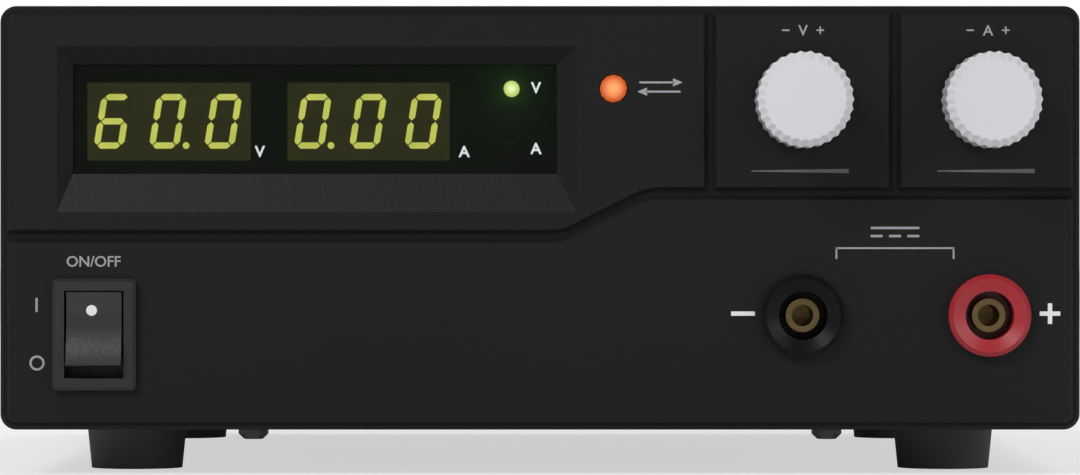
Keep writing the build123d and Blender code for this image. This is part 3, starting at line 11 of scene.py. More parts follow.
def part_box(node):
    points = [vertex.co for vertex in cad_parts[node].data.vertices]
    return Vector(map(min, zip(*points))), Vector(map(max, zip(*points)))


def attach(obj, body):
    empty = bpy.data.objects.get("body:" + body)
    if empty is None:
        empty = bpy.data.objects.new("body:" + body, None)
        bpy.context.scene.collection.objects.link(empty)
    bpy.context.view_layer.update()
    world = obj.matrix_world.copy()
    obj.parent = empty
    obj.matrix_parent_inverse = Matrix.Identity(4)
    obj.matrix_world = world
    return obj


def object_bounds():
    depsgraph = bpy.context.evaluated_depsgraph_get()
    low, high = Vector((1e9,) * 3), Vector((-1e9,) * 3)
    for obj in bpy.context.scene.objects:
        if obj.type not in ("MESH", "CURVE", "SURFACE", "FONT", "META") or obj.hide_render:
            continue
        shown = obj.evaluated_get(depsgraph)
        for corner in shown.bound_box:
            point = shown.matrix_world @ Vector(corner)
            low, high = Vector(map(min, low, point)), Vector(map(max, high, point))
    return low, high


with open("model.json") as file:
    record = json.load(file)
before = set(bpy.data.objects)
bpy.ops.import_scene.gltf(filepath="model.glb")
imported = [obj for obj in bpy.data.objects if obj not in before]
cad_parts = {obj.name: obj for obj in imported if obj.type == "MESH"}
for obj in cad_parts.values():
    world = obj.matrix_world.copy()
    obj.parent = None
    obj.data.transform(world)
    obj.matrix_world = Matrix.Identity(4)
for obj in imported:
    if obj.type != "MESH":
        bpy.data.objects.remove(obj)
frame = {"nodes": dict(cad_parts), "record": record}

NODES = frame["nodes"]
CAD_LOW, CAD_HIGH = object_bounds()
MM = 0.001

# Places read from the frame

BEZEL_LOW = Vector(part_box("front_bezel")[0])
PANEL_Y = BEZEL_LOW.y
BEZEL_BOTTOM = BEZEL_LOW.z
WINDOW_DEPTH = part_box("display_window")[0].y - PANEL_Y

# The photograph's frame, in its own pixels, and how it maps to the panel

PHOTO_WIDTH = 1080
PHOTO_HEIGHT = 475
PANEL_MIDDLE_PX = 540.0
PANEL_BOTTOM_PX = 430.0
PIXEL = 0.185 * MM

# Where each printed mark is centred, in pixels of the photograph

MARK_PX = {
    "power_words": (93.5, 262),
    "on_mark": (36.6, 305),
    "off_mark": (37, 363),
    "rocker_dot": (92.2, 310.3),
    "voltage_words": (803, 31),
    "current_words": (988, 31),
    "voltage_ramp": (800, 171),
    "current_ramp": (986, 171),
    "minus_sign": (743, 313.6),
    "plus_sign": (1050, 313.6),
    "direct_current_sign": (895, 232),
    "socket_bracket": (895, 253),
    "remote_arrows": (660, 87),
    "voltage_unit": (259, 152),
    "current_unit": (464, 152),
    "voltage_mode_unit": (536, 88),
    "current_mode_unit": (536, 149),
}


def at_pixel(px, py):
    """The panel's X and Z, in metres, at a pixel of the photograph."""
    return (px - PANEL_MIDDLE_PX) * PIXEL, BEZEL_BOTTOM + (PANEL_BOTTOM_PX - py) * PIXEL


# Materials

# Painted shade: a face of the bezel is given a darker colour, standing in for the shadow in its
# grooves and at its rim, when it lies this deep and its normal's Y is under this limit

PAINTED_SHADE_DEPTH = 0.9 * MM
FACING_FRONT = -0.99
PAINTED_GROOVE_SHADE = (0.15, 0.15, 0.15, 1)
WINDOW_ALPHA = 0.68
BRUSH_STRETCH = (40.0, 40.0, 900.0)
# Painted glow: the colour of a faint light given off by the readout's face and its unlit bars, which
# are no lamps
READOUT_PAINTED_GLOW = (0.9, 1.0, 0.27)
READOUT_BODY = (0.02, 0.021, 0.012)


def node_of(tree, kind, **values):
    """A new shader node with some of its inputs or attributes set."""
    node = tree.nodes.new(kind)
    for name, value in values.items():
        if name in node.inputs:
            node.inputs[name].default_value = value
        else:
            setattr(node, name, value)
    return node


def new_material(name):
    """A material with a cleared tree and one Principled shader at its output."""
    material = bpy.data.materials.new(name)
    material.use_nodes = True
    tree = material.node_tree
    tree.nodes.clear()
    shader = tree.nodes.new("ShaderNodeBsdfPrincipled")
    output = tree.nodes.new("ShaderNodeOutputMaterial")
    tree.links.new(shader.outputs["BSDF"], output.inputs["Surface"])
    return material, tree, shader


def object_coords(tree, scale=(1.0, 1.0, 1.0)):
    """Object coordinates, stretched by a scale on each axis."""
    coords = tree.nodes.new("ShaderNodeTexCoord")
    mapping = tree.nodes.new("ShaderNodeMapping")
    mapping.inputs["Scale"].default_value = scale
    tree.links.new(coords.outputs["Object"], mapping.inputs["Vector"])
    return mapping.outputs["Vector"]


def noise(tree, vector, scale, detail=2.0, rough=0.5):
    """A cloudy value between 0 and 1 at a point."""
    texture = node_of(tree, "ShaderNodeTexNoise", Scale=scale, Detail=detail, Roughness=rough)
    tree.links.new(vector, texture.inputs["Vector"])
    return texture.outputs["Fac"]


def colour_ramp(tree, value, low, high, start=0.3, end=0.7):
    """A colour that runs from low to high as the value runs from start to end."""
    ramp = tree.nodes.new("ShaderNodeValToRGB")
    ramp.color_ramp.elements[0].position = start
    ramp.color_ramp.elements[0].color = (*low, 1)
    ramp.color_ramp.elements[1].position = end
    ramp.color_ramp.elements[1].color = (*high, 1)
    tree.links.new(value, ramp.inputs["Fac"])
    return ramp.outputs["Color"]


def number_range(tree, value, low, high):
    """A value between 0 and 1, mapped to a number between low and high."""
    mapped = tree.nodes.new("ShaderNodeMapRange")
    mapped.inputs["To Min"].default_value = low
    mapped.inputs["To Max"].default_value = high
    tree.links.new(value, mapped.inputs["Value"])
    return mapped.outputs["Result"]


def bump(tree, shader, height, distance):
    """Raises a shader's surface by a height, to a distance in metres."""
    node = node_of(tree, "ShaderNodeBump", Distance=distance)
    tree.links.new(height, node.inputs["Height"])
    tree.links.new(node.outputs["Normal"], shader.inputs["Normal"])


def scaled(colour, factor):
    """A colour made darker or lighter by a factor."""
    return tuple(min(1.0, channel * factor) for channel in colour)


def moulded(name, colour, rough=0.5, grain=1400.0, depth=0.03 * MM, vary=0.12, specular=0.5,
            coat=0.0):
    """Moulded plastic: a fine spark grain, faint flow clouds and a little gloss change."""
    material, tree, shader = new_material(name)
    vector = object_coords(tree)
    clouds = noise(tree, vector, 22.0, detail=4.0)
    fine = noise(tree, vector, grain, detail=2.0)
    tree.links.new(colour_ramp(tree, clouds, scaled(colour, 1 - vary), scaled(colour, 1 + vary)),
                   shader.inputs["Base Color"])
    tree.links.new(number_range(tree, fine, rough - 0.07, rough + 0.07),
                   shader.inputs["Roughness"])
    shader.inputs["Specular IOR Level"].default_value = specular
    shader.inputs["Coat Weight"].default_value = coat
    bump(tree, shader, fine, depth)
    return material


def front_moulding(name, colour, rough, specular):
    """The bezel's plastic, with painted shade making it darker on the flat floors of its grooves and
    on its rim.
    """
    material = moulded(name, colour, rough=rough, specular=specular)
    tree = material.node_tree
    shader = next(node for node in tree.nodes if node.type == "BSDF_PRINCIPLED")
    plain = shader.inputs["Base Color"].links[0].from_socket
    coords = tree.nodes.new("ShaderNodeTexCoord")
    place = tree.nodes.new("ShaderNodeSeparateXYZ")
    facing = tree.nodes.new("ShaderNodeSeparateXYZ")
    deep = node_of(tree, "ShaderNodeMath", operation="GREATER_THAN")
    flat = node_of(tree, "ShaderNodeMath", operation="LESS_THAN")
    both = node_of(tree, "ShaderNodeMath", operation="MULTIPLY")
    mix = node_of(tree, "ShaderNodeMix", data_type="RGBA", blend_type="MULTIPLY")
    # Painted shade: deep faces that face the front get a darker base colour, standing in for the
    # shadow there.
    deep.inputs[1].default_value = PANEL_Y + PAINTED_SHADE_DEPTH
    flat.inputs[1].default_value = FACING_FRONT
    mix.inputs[7].default_value = PAINTED_GROOVE_SHADE
    tree.links.new(coords.outputs["Object"], place.inputs["Vector"])
    tree.links.new(coords.outputs["Normal"], facing.inputs["Vector"])
    tree.links.new(place.outputs["Y"], deep.inputs[0])
    tree.links.new(facing.outputs["Y"], flat.inputs[0])
    tree.links.new(deep.outputs["Value"], both.inputs[0])
    tree.links.new(flat.outputs["Value"], both.inputs[1])
    tree.links.new(both.outputs["Value"], mix.inputs[0])
    tree.links.new(plain, mix.inputs[6])
    tree.links.new(mix.outputs[2], shader.inputs["Base Color"])
    return material


def brushed(name, colour, rough=0.3):
    """Brushed or drawn metal, with fine lines across one axis."""
    material, tree, shader = new_material(name)
    shader.inputs["Metallic"].default_value = 1.0
    lines = noise(tree, object_coords(tree, BRUSH_STRETCH), 1.0, detail=3.0)
    clouds = noise(tree, object_coords(tree), 30.0, detail=3.0)
    tree.links.new(colour_ramp(tree, clouds, scaled(colour, 0.9), scaled(colour, 1.08)),
                   shader.inputs["Base Color"])
    tree.links.new(number_range(tree, lines, rough - 0.1, rough + 0.12),
                   shader.inputs["Roughness"])
    bump(tree, shader, lines, 0.01 * MM)
    return material


def powder_coat(name, colour):
    """Textured powder coat on sheet steel: a leather-like pebble at half a millimetre."""
    material, tree, shader = new_material(name)
    vector = object_coords(tree)
    cells = node_of(tree, "ShaderNodeTexVoronoi", Scale=1900.0)
    tree.links.new(vector, cells.inputs["Vector"])
    clouds = noise(tree, vector, 14.0, detail=3.0)
    tree.links.new(colour_ramp(tree, clouds, scaled(colour, 0.88), scaled(colour, 1.12)),
                   shader.inputs["Base Color"])
    tree.links.new(number_range(tree, cells.outputs["Distance"], 0.47, 0.65),
                   shader.inputs["Roughness"])
    bump(tree, shader, cells.outputs["Distance"], 0.06 * MM)
    return material


def glowing(name, colour, strength, body=(0.1, 0.1, 0.05)):
    """A glowing translucent plastic, a little uneven in brightness over its length: truly lit on the
    lit bars, a painted glow on the readout's face and its unlit bars.
    """
    material, tree, shader = new_material(name)
    glow = noise(tree, object_coords(tree), 260.0, detail=1.0)
    tree.links.new(colour_ramp(tree, glow, scaled(colour, 0.9), scaled(colour, 1.05)),
                   shader.inputs["Emission Color"])
    shader.inputs["Emission Strength"].default_value = strength
    shader.inputs["Base Color"].default_value = (*body, 1)
    shader.inputs["Roughness"].default_value = 0.4
    return material


def lit_lens(name, node, core, edge, strength):
    """A lit lamp, bright at its middle and deeper in colour towards its rim."""
    material, tree, shader = new_material(name)
    low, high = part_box(node)
    coords = tree.nodes.new("ShaderNodeTexCoord")
    flat = node_of(tree, "ShaderNodeVectorMath", operation="MULTIPLY")
    flat.inputs[1].default_value = (1, 0, 1)
    away = node_of(tree, "ShaderNodeVectorMath", operation="DISTANCE")
    away.inputs[1].default_value = ((low.x + high.x) / 2, 0, (low.z + high.z) / 2)
    share = node_of(tree, "ShaderNodeMath", operation="DIVIDE")
    share.inputs[1].default_value = (high.x - low.x) / 2
    tree.links.new(coords.outputs["Object"], flat.inputs[0])
    tree.links.new(flat.outputs["Vector"], away.inputs[0])
    tree.links.new(away.outputs["Value"], share.inputs[0])
    tree.links.new(colour_ramp(tree, share.outputs["Value"], core, edge, 0.2, 0.85),
                   shader.inputs["Emission Color"])
    shader.inputs["Emission Strength"].default_value = strength
    shader.inputs["Base Color"].default_value = (*scaled(edge, 0.4), 1)
    shader.inputs["Roughness"].default_value = 0.25
    return material


def smoke_window(name):
    """The window's smoke-tinted sheet, clear enough to show the lit bars behind it."""
    material, tree, shader = new_material(name)
    haze = noise(tree, object_coords(tree), 60.0, detail=3.0)
    tree.links.new(number_range(tree, haze, 0.10, 0.16), shader.inputs["Roughness"])
    shader.inputs["Base Color"].default_value = (0.006, 0.007, 0.005, 1)
    shader.inputs["Alpha"].default_value = WINDOW_ALPHA
    shader.inputs["Specular IOR Level"].default_value = 0.1
    return material


def board_material(name):
    """Green solder mask with faint track relief."""
    material, tree, shader = new_material(name)
    vector = object_coords(tree)
    tracks = node_of(tree, "ShaderNodeTexBrick", Scale=120.0)
    tree.links.new(vector, tracks.inputs["Vector"])
    tree.links.new(colour_ramp(tree, tracks.outputs["Fac"], (0.008, 0.075, 0.025),
                               (0.015, 0.12, 0.045)), shader.inputs["Base Color"])
    shader.inputs["Roughness"].default_value = 0.35
    bump(tree, shader, tracks.outputs["Fac"], 0.03 * MM)
    return material


def tape_wound(name, colour):
    """Wound magnetics: ridges of wire under tape, with painted shade darkening the hollows between
    the ridges.
    """
    material, tree, shader = new_material(name)
    wave = node_of(tree, "ShaderNodeTexWave", Scale=260.0, Distortion=1.5, bands_direction="Z")
    tree.links.new(object_coords(tree), wave.inputs["Vector"])
    # Painted shade: the same wave that sets the bump makes the colour darker in the hollows.
    tree.links.new(colour_ramp(tree, wave.outputs["Fac"], scaled(colour, 0.7), colour),
                   shader.inputs["Base Color"])
    shader.inputs["Roughness"].default_value = 0.35
    bump(tree, shader, wave.outputs["Fac"], 0.2 * MM)
    return material


def make_materials():
    """One material for each of the record's slots, and those of the printed marks."""
    return {
        "bezel_plastic": front_moulding("bezel_plastic", (0.0036, 0.0037, 0.0041),
                                        rough=0.5, specular=0.24),
        "tinted_window": smoke_window("tinted_window"),
        # Painted glow: the readout's face and its unlit bars (dark_bar) give off a faint green
        # light, though they are no lamps; the lit bars are true lamps.
        "readout_plastic": glowing("readout_plastic", READOUT_PAINTED_GLOW, 0.22,
                                   body=READOUT_BODY),
        "light_bar": glowing("light_bar", (0.62, 0.66, 0.12), 8.0),
        "dark_bar": glowing("dark_bar", READOUT_PAINTED_GLOW, 0.2, body=READOUT_BODY),
        "circuit_board": board_material("circuit_board"),
        "green_lamp": lit_lens("green_lamp", "voltage_mode_led", (0.85, 0.95, 0.45),
                               (0.45, 0.6, 0.15), 10.0),
        "dark_lamp": moulded("dark_lamp", (0.16, 0.16, 0.15), rough=0.25, grain=300.0),
        "orange_lamp": lit_lens("orange_lamp", "remote_led", (1.0, 0.42, 0.16),
                                (0.55, 0.09, 0.02), 0.9),
        "zinc_metal": brushed("zinc_metal", (0.58, 0.59, 0.6), rough=0.38),
        "inner_plastic": moulded("inner_plastic", (0.03, 0.03, 0.03)),
        "knob_plastic": moulded("knob_plastic", (0.62, 0.62, 0.64), rough=0.34, grain=900.0,
                                depth=0.01 * MM, vary=0.03, coat=0.2),
        "switch_plastic": moulded("switch_plastic", (0.012, 0.012, 0.013), rough=0.4),
        "rocker_plastic": moulded("rocker_plastic", (0.02, 0.02, 0.022), rough=0.33),
        "brass_metal": brushed("brass_metal", (0.2, 0.14, 0.06), rough=0.34),
        "black_insulator": moulded("black_insulator", (0.003, 0.003, 0.0035), rough=0.3,
                                   grain=500.0, depth=0.01 * MM, specular=0.15),
        "red_insulator": moulded("red_insulator", (0.33, 0.010, 0.018), rough=0.32, grain=500.0,
                                 depth=0.01 * MM, vary=0.06),
        "cover_paint": powder_coat("cover_paint", (0.017, 0.017, 0.019)),
        "black_screw": moulded("black_screw", (0.02, 0.02, 0.022), rough=0.35, specular=0.7),
        "foot_rubber": moulded("foot_rubber", (0.09, 0.09, 0.095), rough=0.72, grain=2200.0,
                               depth=0.05 * MM),
        "drawer_plastic": moulded("drawer_plastic", (0.016, 0.016, 0.018), rough=0.42),
        "fuse_ceramic": moulded("fuse_ceramic", (0.75, 0.73, 0.66), rough=0.2),
        "fan_plastic": moulded("fan_plastic", (0.013, 0.013, 0.014), rough=0.45),
        "bright_wire": brushed("bright_wire", (0.66, 0.67, 0.69), rough=0.22),
        "connector_plastic": moulded("connector_plastic", (0.03, 0.11, 0.05), rough=0.45),
        "sink_aluminium": brushed("sink_aluminium", (0.75, 0.75, 0.76), rough=0.35),
        "ferrite_ceramic": moulded("ferrite_ceramic", (0.05, 0.05, 0.055), rough=0.5),
        "winding_tape": tape_wound("winding_tape", (0.5, 0.34, 0.04)),
        "can_sleeve": moulded("can_sleeve", (0.02, 0.03, 0.09), rough=0.3),
        "copper_bar": brushed("copper_bar", (0.75, 0.38, 0.22), rough=0.3),
        "lead_insulation": moulded("lead_insulation", (0.02, 0.02, 0.022), rough=0.4),
        "ribbon_insulation": moulded("ribbon_insulation", (0.4, 0.4, 0.41), rough=0.5),
        "print_grey": moulded("print_grey", (0.30, 0.31, 0.32), rough=0.55, grain=3000.0,
                              depth=0.004 * MM, vary=0.08),
        "print_faint": moulded("print_faint", (0.13, 0.135, 0.14), rough=0.55, grain=3000.0,
                               specular=0.1),
        "print_white": moulded("print_white", (0.72, 0.73, 0.74), rough=0.5, grain=3000.0,
                               depth=0.004 * MM, vary=0.05),
    }


MATERIALS = make_materials()
SLOT_OF_NODE = {entry["node"]: entry["material_slot"] for entry in frame["record"]["subparts"]}


def paint(obj, material):
    """Gives an object one material on every face."""
    obj.data.materials.clear()
    obj.data.materials.append(MATERIALS[material])


def dress_nodes():
    """Every CAD node takes its slot's material."""
    for name, obj in NODES.items():
        paint(obj, SLOT_OF_NODE[name])


dress_nodes()


# New pieces


def add_piece(name, mesh, body, material):
    """Links a mesh as a piece that rides on a body."""
    obj = bpy.data.objects.new(name, mesh)
    bpy.context.scene.collection.objects.link(obj)
    obj.data.materials.append(MATERIALS[material])
    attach(obj, body)


def panel_matrix(x, z, depth=0.0):
    """Places flat artwork, drawn in its own XY plane, on the panel, facing the front."""
    return Matrix.Translation((x, PANEL_Y + depth, z)) @ Matrix.Rotation(math.pi / 2, 4, "X")


def strip_mesh(name, strips, thickness):
    """A mesh of closed flat outlines, each (x, y) points in millimetres, made this thick."""
    mesh = bpy.data.meshes.new(name)
    work = bmesh.new()
    for outline in strips:
        back = [work.verts.new((x * MM, y * MM, 0.0)) for x, y in outline]
        front = [work.verts.new((x * MM, y * MM, thickness)) for x, y in outline]
        work.faces.new(list(reversed(back)))
        work.faces.new(front)
        for index in range(len(outline)):
            following = (index + 1) % len(outline)
            work.faces.new((back[index], back[following], front[following], front[index]))
    bmesh.ops.recalc_face_normals(work, faces=work.faces)
    work.to_mesh(mesh)
    work.free()
    return mesh


PRINT = 0.04 * MM
CAPITAL_SHARE = 0.72

# Sizes of the printed marks, in millimetres

WORD_HEIGHT = 2.0
WORD_BOLD = 0.03
UNIT_HEIGHT = 2.1
UNIT_BOLD = 0.06
DOT_RADIUS = 1.0
ON_WIDTH, ON_HEIGHT = 0.42, 2.6
OFF_RADIUS, OFF_LINE = 1.4, 0.4
RAMP_LENGTH, RAMP_LOW, RAMP_HIGH = 18.0, 0.2, 0.8
MINUS_LENGTH, PLUS_LENGTH, SIGN_LINE = 4.4, 3.8, 0.8
DIRECT_LENGTH, DIRECT_DASH, DIRECT_STEP = 9.0, 2.2, 3.4
DIRECT_LEVEL, DIRECT_LINE = 0.75, 0.45
BRACKET_LENGTH, BRACKET_DROP, BRACKET_LEVEL, BRACKET_LINE = 22.0, 2.0, 0.9, 0.32
ARROW_LEVEL, ARROW_LINE = 0.85, 0.36
ARROW_TAIL, ARROW_NECK = -3.8, 2.6
HEAD_BACK, HEAD_TIP, HEAD_HALF = 2.4, 4.2, 0.75
KNOB_UNITS = (("voltage", "V"), ("current", "A"))


def printed_text(name, text, height, material, bold, depth=0.0):
    """Printed characters at their mark's place, with capitals of the given height in mm."""
    x, z = at_pixel(*MARK_PX[name])
    curve = bpy.data.curves.new(name, "FONT")
    curve.body = text
    curve.align_x = "CENTER"
    curve.align_y = "CENTER"
    curve.size = height * MM / CAPITAL_SHARE
    curve.offset = bold * MM
    curve.extrude = PRINT / 2
    curve.resolution_u = 4
    shape = bpy.data.objects.new(name + "_curve", curve)
    bpy.context.scene.collection.objects.link(shape)
    bpy.context.view_layer.update()
    mesh = bpy.data.meshes.new_from_object(shape.evaluated_get(
        bpy.context.evaluated_depsgraph_get()))
    bpy.data.objects.remove(shape)
    mesh.materials.clear()
    mesh.transform(panel_matrix(x, z, depth - PRINT / 2))
    mesh.name = name
    add_piece(name, mesh, "housing", material)


def bar(x, y, width, height):
    """A rectangle's outline about a centre."""
    return [(x - width / 2, y - height / 2), (x + width / 2, y - height / 2),
            (x + width / 2, y + height / 2), (x - width / 2, y + height / 2)]


def printed_shape(name, strips, material):
    """Printed outlines in millimetres, about their mark's place."""
    x, z = at_pixel(*MARK_PX[name])
    mesh = strip_mesh(name, strips, PRINT)
    mesh.transform(panel_matrix(x, z))
    add_piece(name, mesh, "housing", material)


# Outlines of the marks, in millimetres about their middle


def arc_points(radius, start, sweep, count):
    """Points on an arc, both its ends among them."""
    angles = [start + sweep * index / count for index in range(count + 1)]
    return [(radius * math.cos(angle), radius * math.sin(angle)) for angle in angles]


def dot_outline(radius):
    """A filled round, as one outline of 32 points."""
    return [arc_points(radius, 0, 2 * math.pi, 32)[:-1]]


def ring_outline(radius, width):
    """A ring, as two half rings so that each outline is simple."""
    halves = []
    for start in (0, math.pi):
        outer = arc_points(radius, start, math.pi, 16)
        inner = [(x * (1 - width / radius), y * (1 - width / radius)) for x, y in reversed(outer)]
        halves.append(outer + inner)
    return halves


def ramp_outline(length, low, high):
    """A level mark that grows from a low end to a high one."""
    half = length / 2
    return [[(-half, -low / 2), (half, -high / 2), (half, high / 2), (-half, low / 2)]]


def plus_outline(size, width):
    """A plus sign, as one outline."""
    half, thin = size / 2, width / 2
    return [[(-half, -thin), (-thin, -thin), (-thin, -half), (thin, -half), (thin, -thin),
             (half, -thin), (half, thin), (thin, thin), (thin, half), (-thin, half),
             (-thin, thin), (-half, thin)]]


def direct_current_outline():
    """The direct current sign: a solid line over three short ones."""
    return ([bar(0, DIRECT_LEVEL, DIRECT_LENGTH, DIRECT_LINE)]
            + [bar(x, -DIRECT_LEVEL, DIRECT_DASH, DIRECT_LINE)
               for x in (-DIRECT_STEP, 0, DIRECT_STEP)])


def bracket_outline():
    """A line over both sockets with a short drop at each end."""
    reach = (BRACKET_LENGTH - BRACKET_LINE) / 2
    return ([bar(0, BRACKET_LEVEL, BRACKET_LENGTH, BRACKET_LINE)]
            + [bar(x, BRACKET_LEVEL - BRACKET_DROP / 2, BRACKET_LINE, BRACKET_DROP)
               for x in (-reach, reach)])


def arrow_outline():
    """Two plain arrows that point opposite ways."""
    strips = []
    for way in (1, -1):
        level = way * ARROW_LEVEL
        strips.append(bar(way * (ARROW_TAIL + ARROW_NECK) / 2, level, ARROW_NECK - ARROW_TAIL,
                          ARROW_LINE))
        strips.append([(way * HEAD_BACK, level - HEAD_HALF), (way * HEAD_TIP, level),
                       (way * HEAD_BACK, level + HEAD_HALF)])
    return strips


# Printing on the panel, the window and the rocker


def print_panel_marks():
    """The generic marks of the panel: signs, units, ON and OFF, and plain symbols."""
    printed_text("power_words", "ON/OFF", WORD_HEIGHT, "print_grey", bold=WORD_BOLD)
    printed_shape("on_mark", [bar(0, 0, ON_WIDTH, ON_HEIGHT)], "print_grey")
    printed_shape("off_mark", ring_outline(OFF_RADIUS, OFF_LINE), "print_grey")
    for name, unit in KNOB_UNITS:
        printed_text(f"{name}_words", f"−  {unit}  +", WORD_HEIGHT, "print_grey",
                     bold=WORD_BOLD)
    for name, _ in KNOB_UNITS:
        printed_shape(f"{name}_ramp", ramp_outline(RAMP_LENGTH, RAMP_LOW, RAMP_HIGH),
                      "print_faint")
    printed_shape("minus_sign", [bar(0, 0, MINUS_LENGTH, SIGN_LINE)], "print_white")
    printed_shape("plus_sign", plus_outline(PLUS_LENGTH, SIGN_LINE), "print_white")
    printed_shape("direct_current_sign", direct_current_outline(), "print_grey")
    printed_shape("socket_bracket", bracket_outline(), "print_grey")
    printed_shape("remote_arrows", arrow_outline(), "print_grey")


def print_window_units():
    """V and A beside the readouts and beside the mode lamps, on the window's face."""
    for ending in ("unit", "mode_unit"):
        for name, unit in KNOB_UNITS:
            printed_text(f"{name}_{ending}", unit, UNIT_HEIGHT, "print_white", bold=UNIT_BOLD,
                         depth=WINDOW_DEPTH)


def mark_rocker():
    """The white dot on the rocker's upper half, laid on its slanted face."""
    x, z = at_pixel(*MARK_PX["rocker_dot"])
    surface = BVHTree.FromObject(NODES["power_rocker"], bpy.context.evaluated_depsgraph_get())
    before = Vector((x, CAD_LOW.y - PRINT, z))
    place, normal, _, _ = surface.ray_cast(before, Vector((0, 1, 0)))
    mesh = strip_mesh("rocker_dot", dot_outline(DOT_RADIUS), PRINT)
    turn = normal.to_track_quat("Z", "Y").to_matrix().to_4x4()
    mesh.transform(Matrix.Translation(place) @ turn)
    add_piece("rocker_dot", mesh, "rocker", "print_white")


print_panel_marks()
print_window_units()
mark_rocker()


# Readouts

SHOWN = (("6", "0.", "0"), ("0.", "0", "0"))
DIGIT_STEPS = (-1, 0, 1)
LIT_BARS = {"0": "abcdef", "6": "acdefg"}
MODULE_WIDTH = 30.05 * MM
DIGIT_PITCH = 10.3 * MM
DIGIT_WIDTH = 4.45 * MM
DIGIT_HEIGHT = 9.01 * MM
DIGIT_LEAN = math.tan(math.radians(9))
POINT_OFFSET = 4.1 * MM

# A bar's line starts and ends this share of its length in from the digit's corners

BAR_END_SHARE = 0.2


def bar_lines():
    """Each bar of a digit as a line between two (across, up) points, before it leans."""
    side, top = DIGIT_WIDTH / 2, DIGIT_HEIGHT / 2
    return {"a": ((-side, top), (side, top)), "b": ((side, 0), (side, top)),
            "c": ((side, -top), (side, 0)), "d": ((-side, -top), (side, -top)),
            "e": ((-side, -top), (-side, 0)), "f": ((-side, 0), (-side, top)),
            "g": ((-side, 0), (side, 0)), ".": ((POINT_OFFSET, -top), (POINT_OFFSET, -top))}


def distance_to_line(point, line):
    """How far a point lies from a bar's line."""
    start, end = (Vector(corner) for corner in line)
    along = end - start
    share = 0.5
    if along.length:
        share = (point - start).dot(along) / along.length_squared
        share = min(1 - BAR_END_SHARE, max(BAR_END_SHARE, share))
    return (point - start - along * share).length


def light_digits():
    """Puts the lit and the unlit plastic on the bars, told apart by where each face lies."""
    bars = NODES["display_segments"].data
    bars.materials.clear()
    bars.materials.append(MATERIALS["light_bar"])
    bars.materials.append(MATERIALS["dark_bar"])
    low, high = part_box("display_segments")
    middle = (low.z + high.z) / 2
    left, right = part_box("display_modules")
    module_xs = (left.x + MODULE_WIDTH / 2, right.x - MODULE_WIDTH / 2)
    lines = bar_lines()
    places = [(module_x + step * DIGIT_PITCH, digit)
              for module_x, digits in zip(module_xs, SHOWN)
              for step, digit in zip(DIGIT_STEPS, digits)]
    for face in bars.polygons:
        up = face.center.z - middle
        across = face.center.x - up * DIGIT_LEAN
        digit_x, digit = min(places, key=lambda place: abs(across - place[0]))
        point = Vector((across - digit_x, up))
        name = min(lines, key=lambda line: distance_to_line(point, lines[line]))
        lit = name in digit or name in LIT_BARS[digit[0]]
        face.material_index = 0 if lit else 1


light_digits()


# Camera, lights and surroundings

CAMERA_DISTANCE = 1050.0 * MM
CAMERA_LEVEL_PX = 217.5
SENSOR_WIDTH = 36.0
SURROUND = (0.9, 0.92, 0.95, 1)
SURROUND_STRENGTH = 0.35
FLOOR_HALF = 4.0
FLOOR_WHITE_SHARE = 0.6
LIGHT_TARGET = (0, 0, 0.05)

# Each area light's place, its size across and up, both in metres, and its power in watts

LIGHTS = {
    "key": ((-0.75, -1.1, 0.95), (0.7, 0.5), 14.0),
    "fill": ((0.9, -0.9, 0.5), (0.8, 0.8), 4.0),
    "rear": ((0.3, 1.2, 0.8), (0.9, 0.6), 9.0),
}


def make_camera():
    """Square to the panel, at the height and distance that the photograph shows."""
    data = bpy.data.cameras.new("camera")
    width = PHOTO_WIDTH * PIXEL
    data.sensor_width = SENSOR_WIDTH
    data.lens = data.sensor_width * CAMERA_DISTANCE / width
    data.shift_y = (CAMERA_LEVEL_PX - PHOTO_HEIGHT / 2) / PHOTO_WIDTH
    data.clip_end = 20.0
    camera = bpy.data.objects.new("camera", data)
    x, z = at_pixel(PHOTO_WIDTH / 2, CAMERA_LEVEL_PX)
    camera.location = (x, PANEL_Y - CAMERA_DISTANCE, z)
    camera.rotation_euler = (math.pi / 2, 0, 0)
    bpy.context.scene.collection.objects.link(camera)
    bpy.context.scene.camera = camera


def area_light(name, place, size, power):
    """A white rectangular lamp that faces the object."""
    data = bpy.data.lights.new(name, "AREA")
    data.shape = "RECTANGLE"
    data.size, data.size_y = size
    data.energy = power
    light = bpy.data.objects.new(name, data)
    light.location = place
    light.rotation_euler = (Vector(LIGHT_TARGET) - Vector(place)).to_track_quat("-Z", "Y").to_euler()
    bpy.context.scene.collection.objects.link(light)


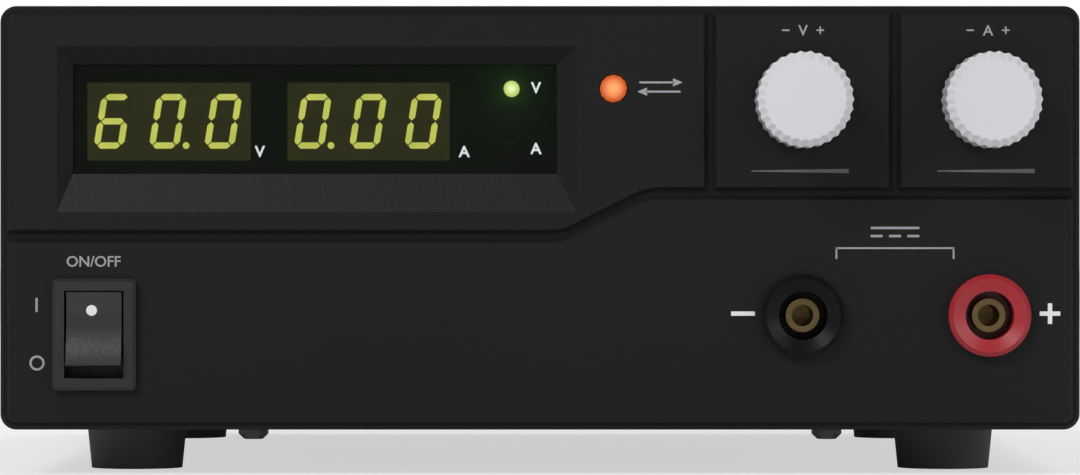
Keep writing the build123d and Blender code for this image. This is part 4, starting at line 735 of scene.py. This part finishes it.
def lift_white(tree, shader, share):
    """Lifts what the camera sees of a surface towards plain white, its shadows too."""
    path = tree.nodes.new("ShaderNodeLightPath")
    part = node_of(tree, "ShaderNodeMath", operation="MULTIPLY")
    part.inputs[1].default_value = share
    white = tree.nodes.new("ShaderNodeEmission")
    mix = tree.nodes.new("ShaderNodeMixShader")
    output = next(node for node in tree.nodes if node.type == "OUTPUT_MATERIAL")
    tree.links.new(path.outputs["Is Camera Ray"], part.inputs[0])
    tree.links.new(part.outputs["Value"], mix.inputs["Fac"])
    tree.links.new(shader.outputs["BSDF"], mix.inputs[1])
    tree.links.new(white.outputs["Emission"], mix.inputs[2])
    tree.links.new(mix.outputs["Shader"], output.inputs["Surface"])


def make_world():
    """A soft pale surround that the camera sees as plain white."""
    world = bpy.data.worlds.new("world")
    bpy.context.scene.world = world
    world.use_nodes = True
    tree = world.node_tree
    tree.nodes.clear()
    soft = node_of(tree, "ShaderNodeBackground", Color=SURROUND, Strength=SURROUND_STRENGTH)
    white = node_of(tree, "ShaderNodeBackground", Color=(1, 1, 1, 1), Strength=1.0)
    path = tree.nodes.new("ShaderNodeLightPath")
    mix = tree.nodes.new("ShaderNodeMixShader")
    output = tree.nodes.new("ShaderNodeOutputWorld")
    tree.links.new(path.outputs["Is Camera Ray"], mix.inputs["Fac"])
    tree.links.new(soft.outputs["Background"], mix.inputs[1])
    tree.links.new(white.outputs["Background"], mix.inputs[2])
    tree.links.new(mix.outputs["Shader"], output.inputs["Surface"])


def make_floor():
    """A pale floor that keeps the object's soft shadow."""
    mesh = bpy.data.meshes.new("floor")
    corners = [(x * FLOOR_HALF, y * FLOOR_HALF, 0)
               for x, y in ((-1, -1), (1, -1), (1, 1), (-1, 1))]
    mesh.from_pydata(corners, [], [(0, 1, 2, 3)])
    floor = bpy.data.objects.new("floor", mesh)
    bpy.context.scene.collection.objects.link(floor)
    material, tree, shader = new_material("floor_paper")
    shader.inputs["Roughness"].default_value = 0.9
    paper = noise(tree, object_coords(tree), 3.0)
    tree.links.new(colour_ramp(tree, paper, (0.85, 0.85, 0.85), (0.87, 0.87, 0.87)),
                   shader.inputs["Base Color"])
    lift_white(tree, shader, FLOOR_WHITE_SHARE)
    floor.data.materials.append(material)


make_camera()
make_world()
make_floor()
for light_name, (place, size, power) in LIGHTS.items():
    area_light(light_name, place, size, power)

bpy.context.scene.view_settings.view_transform = "Standard"
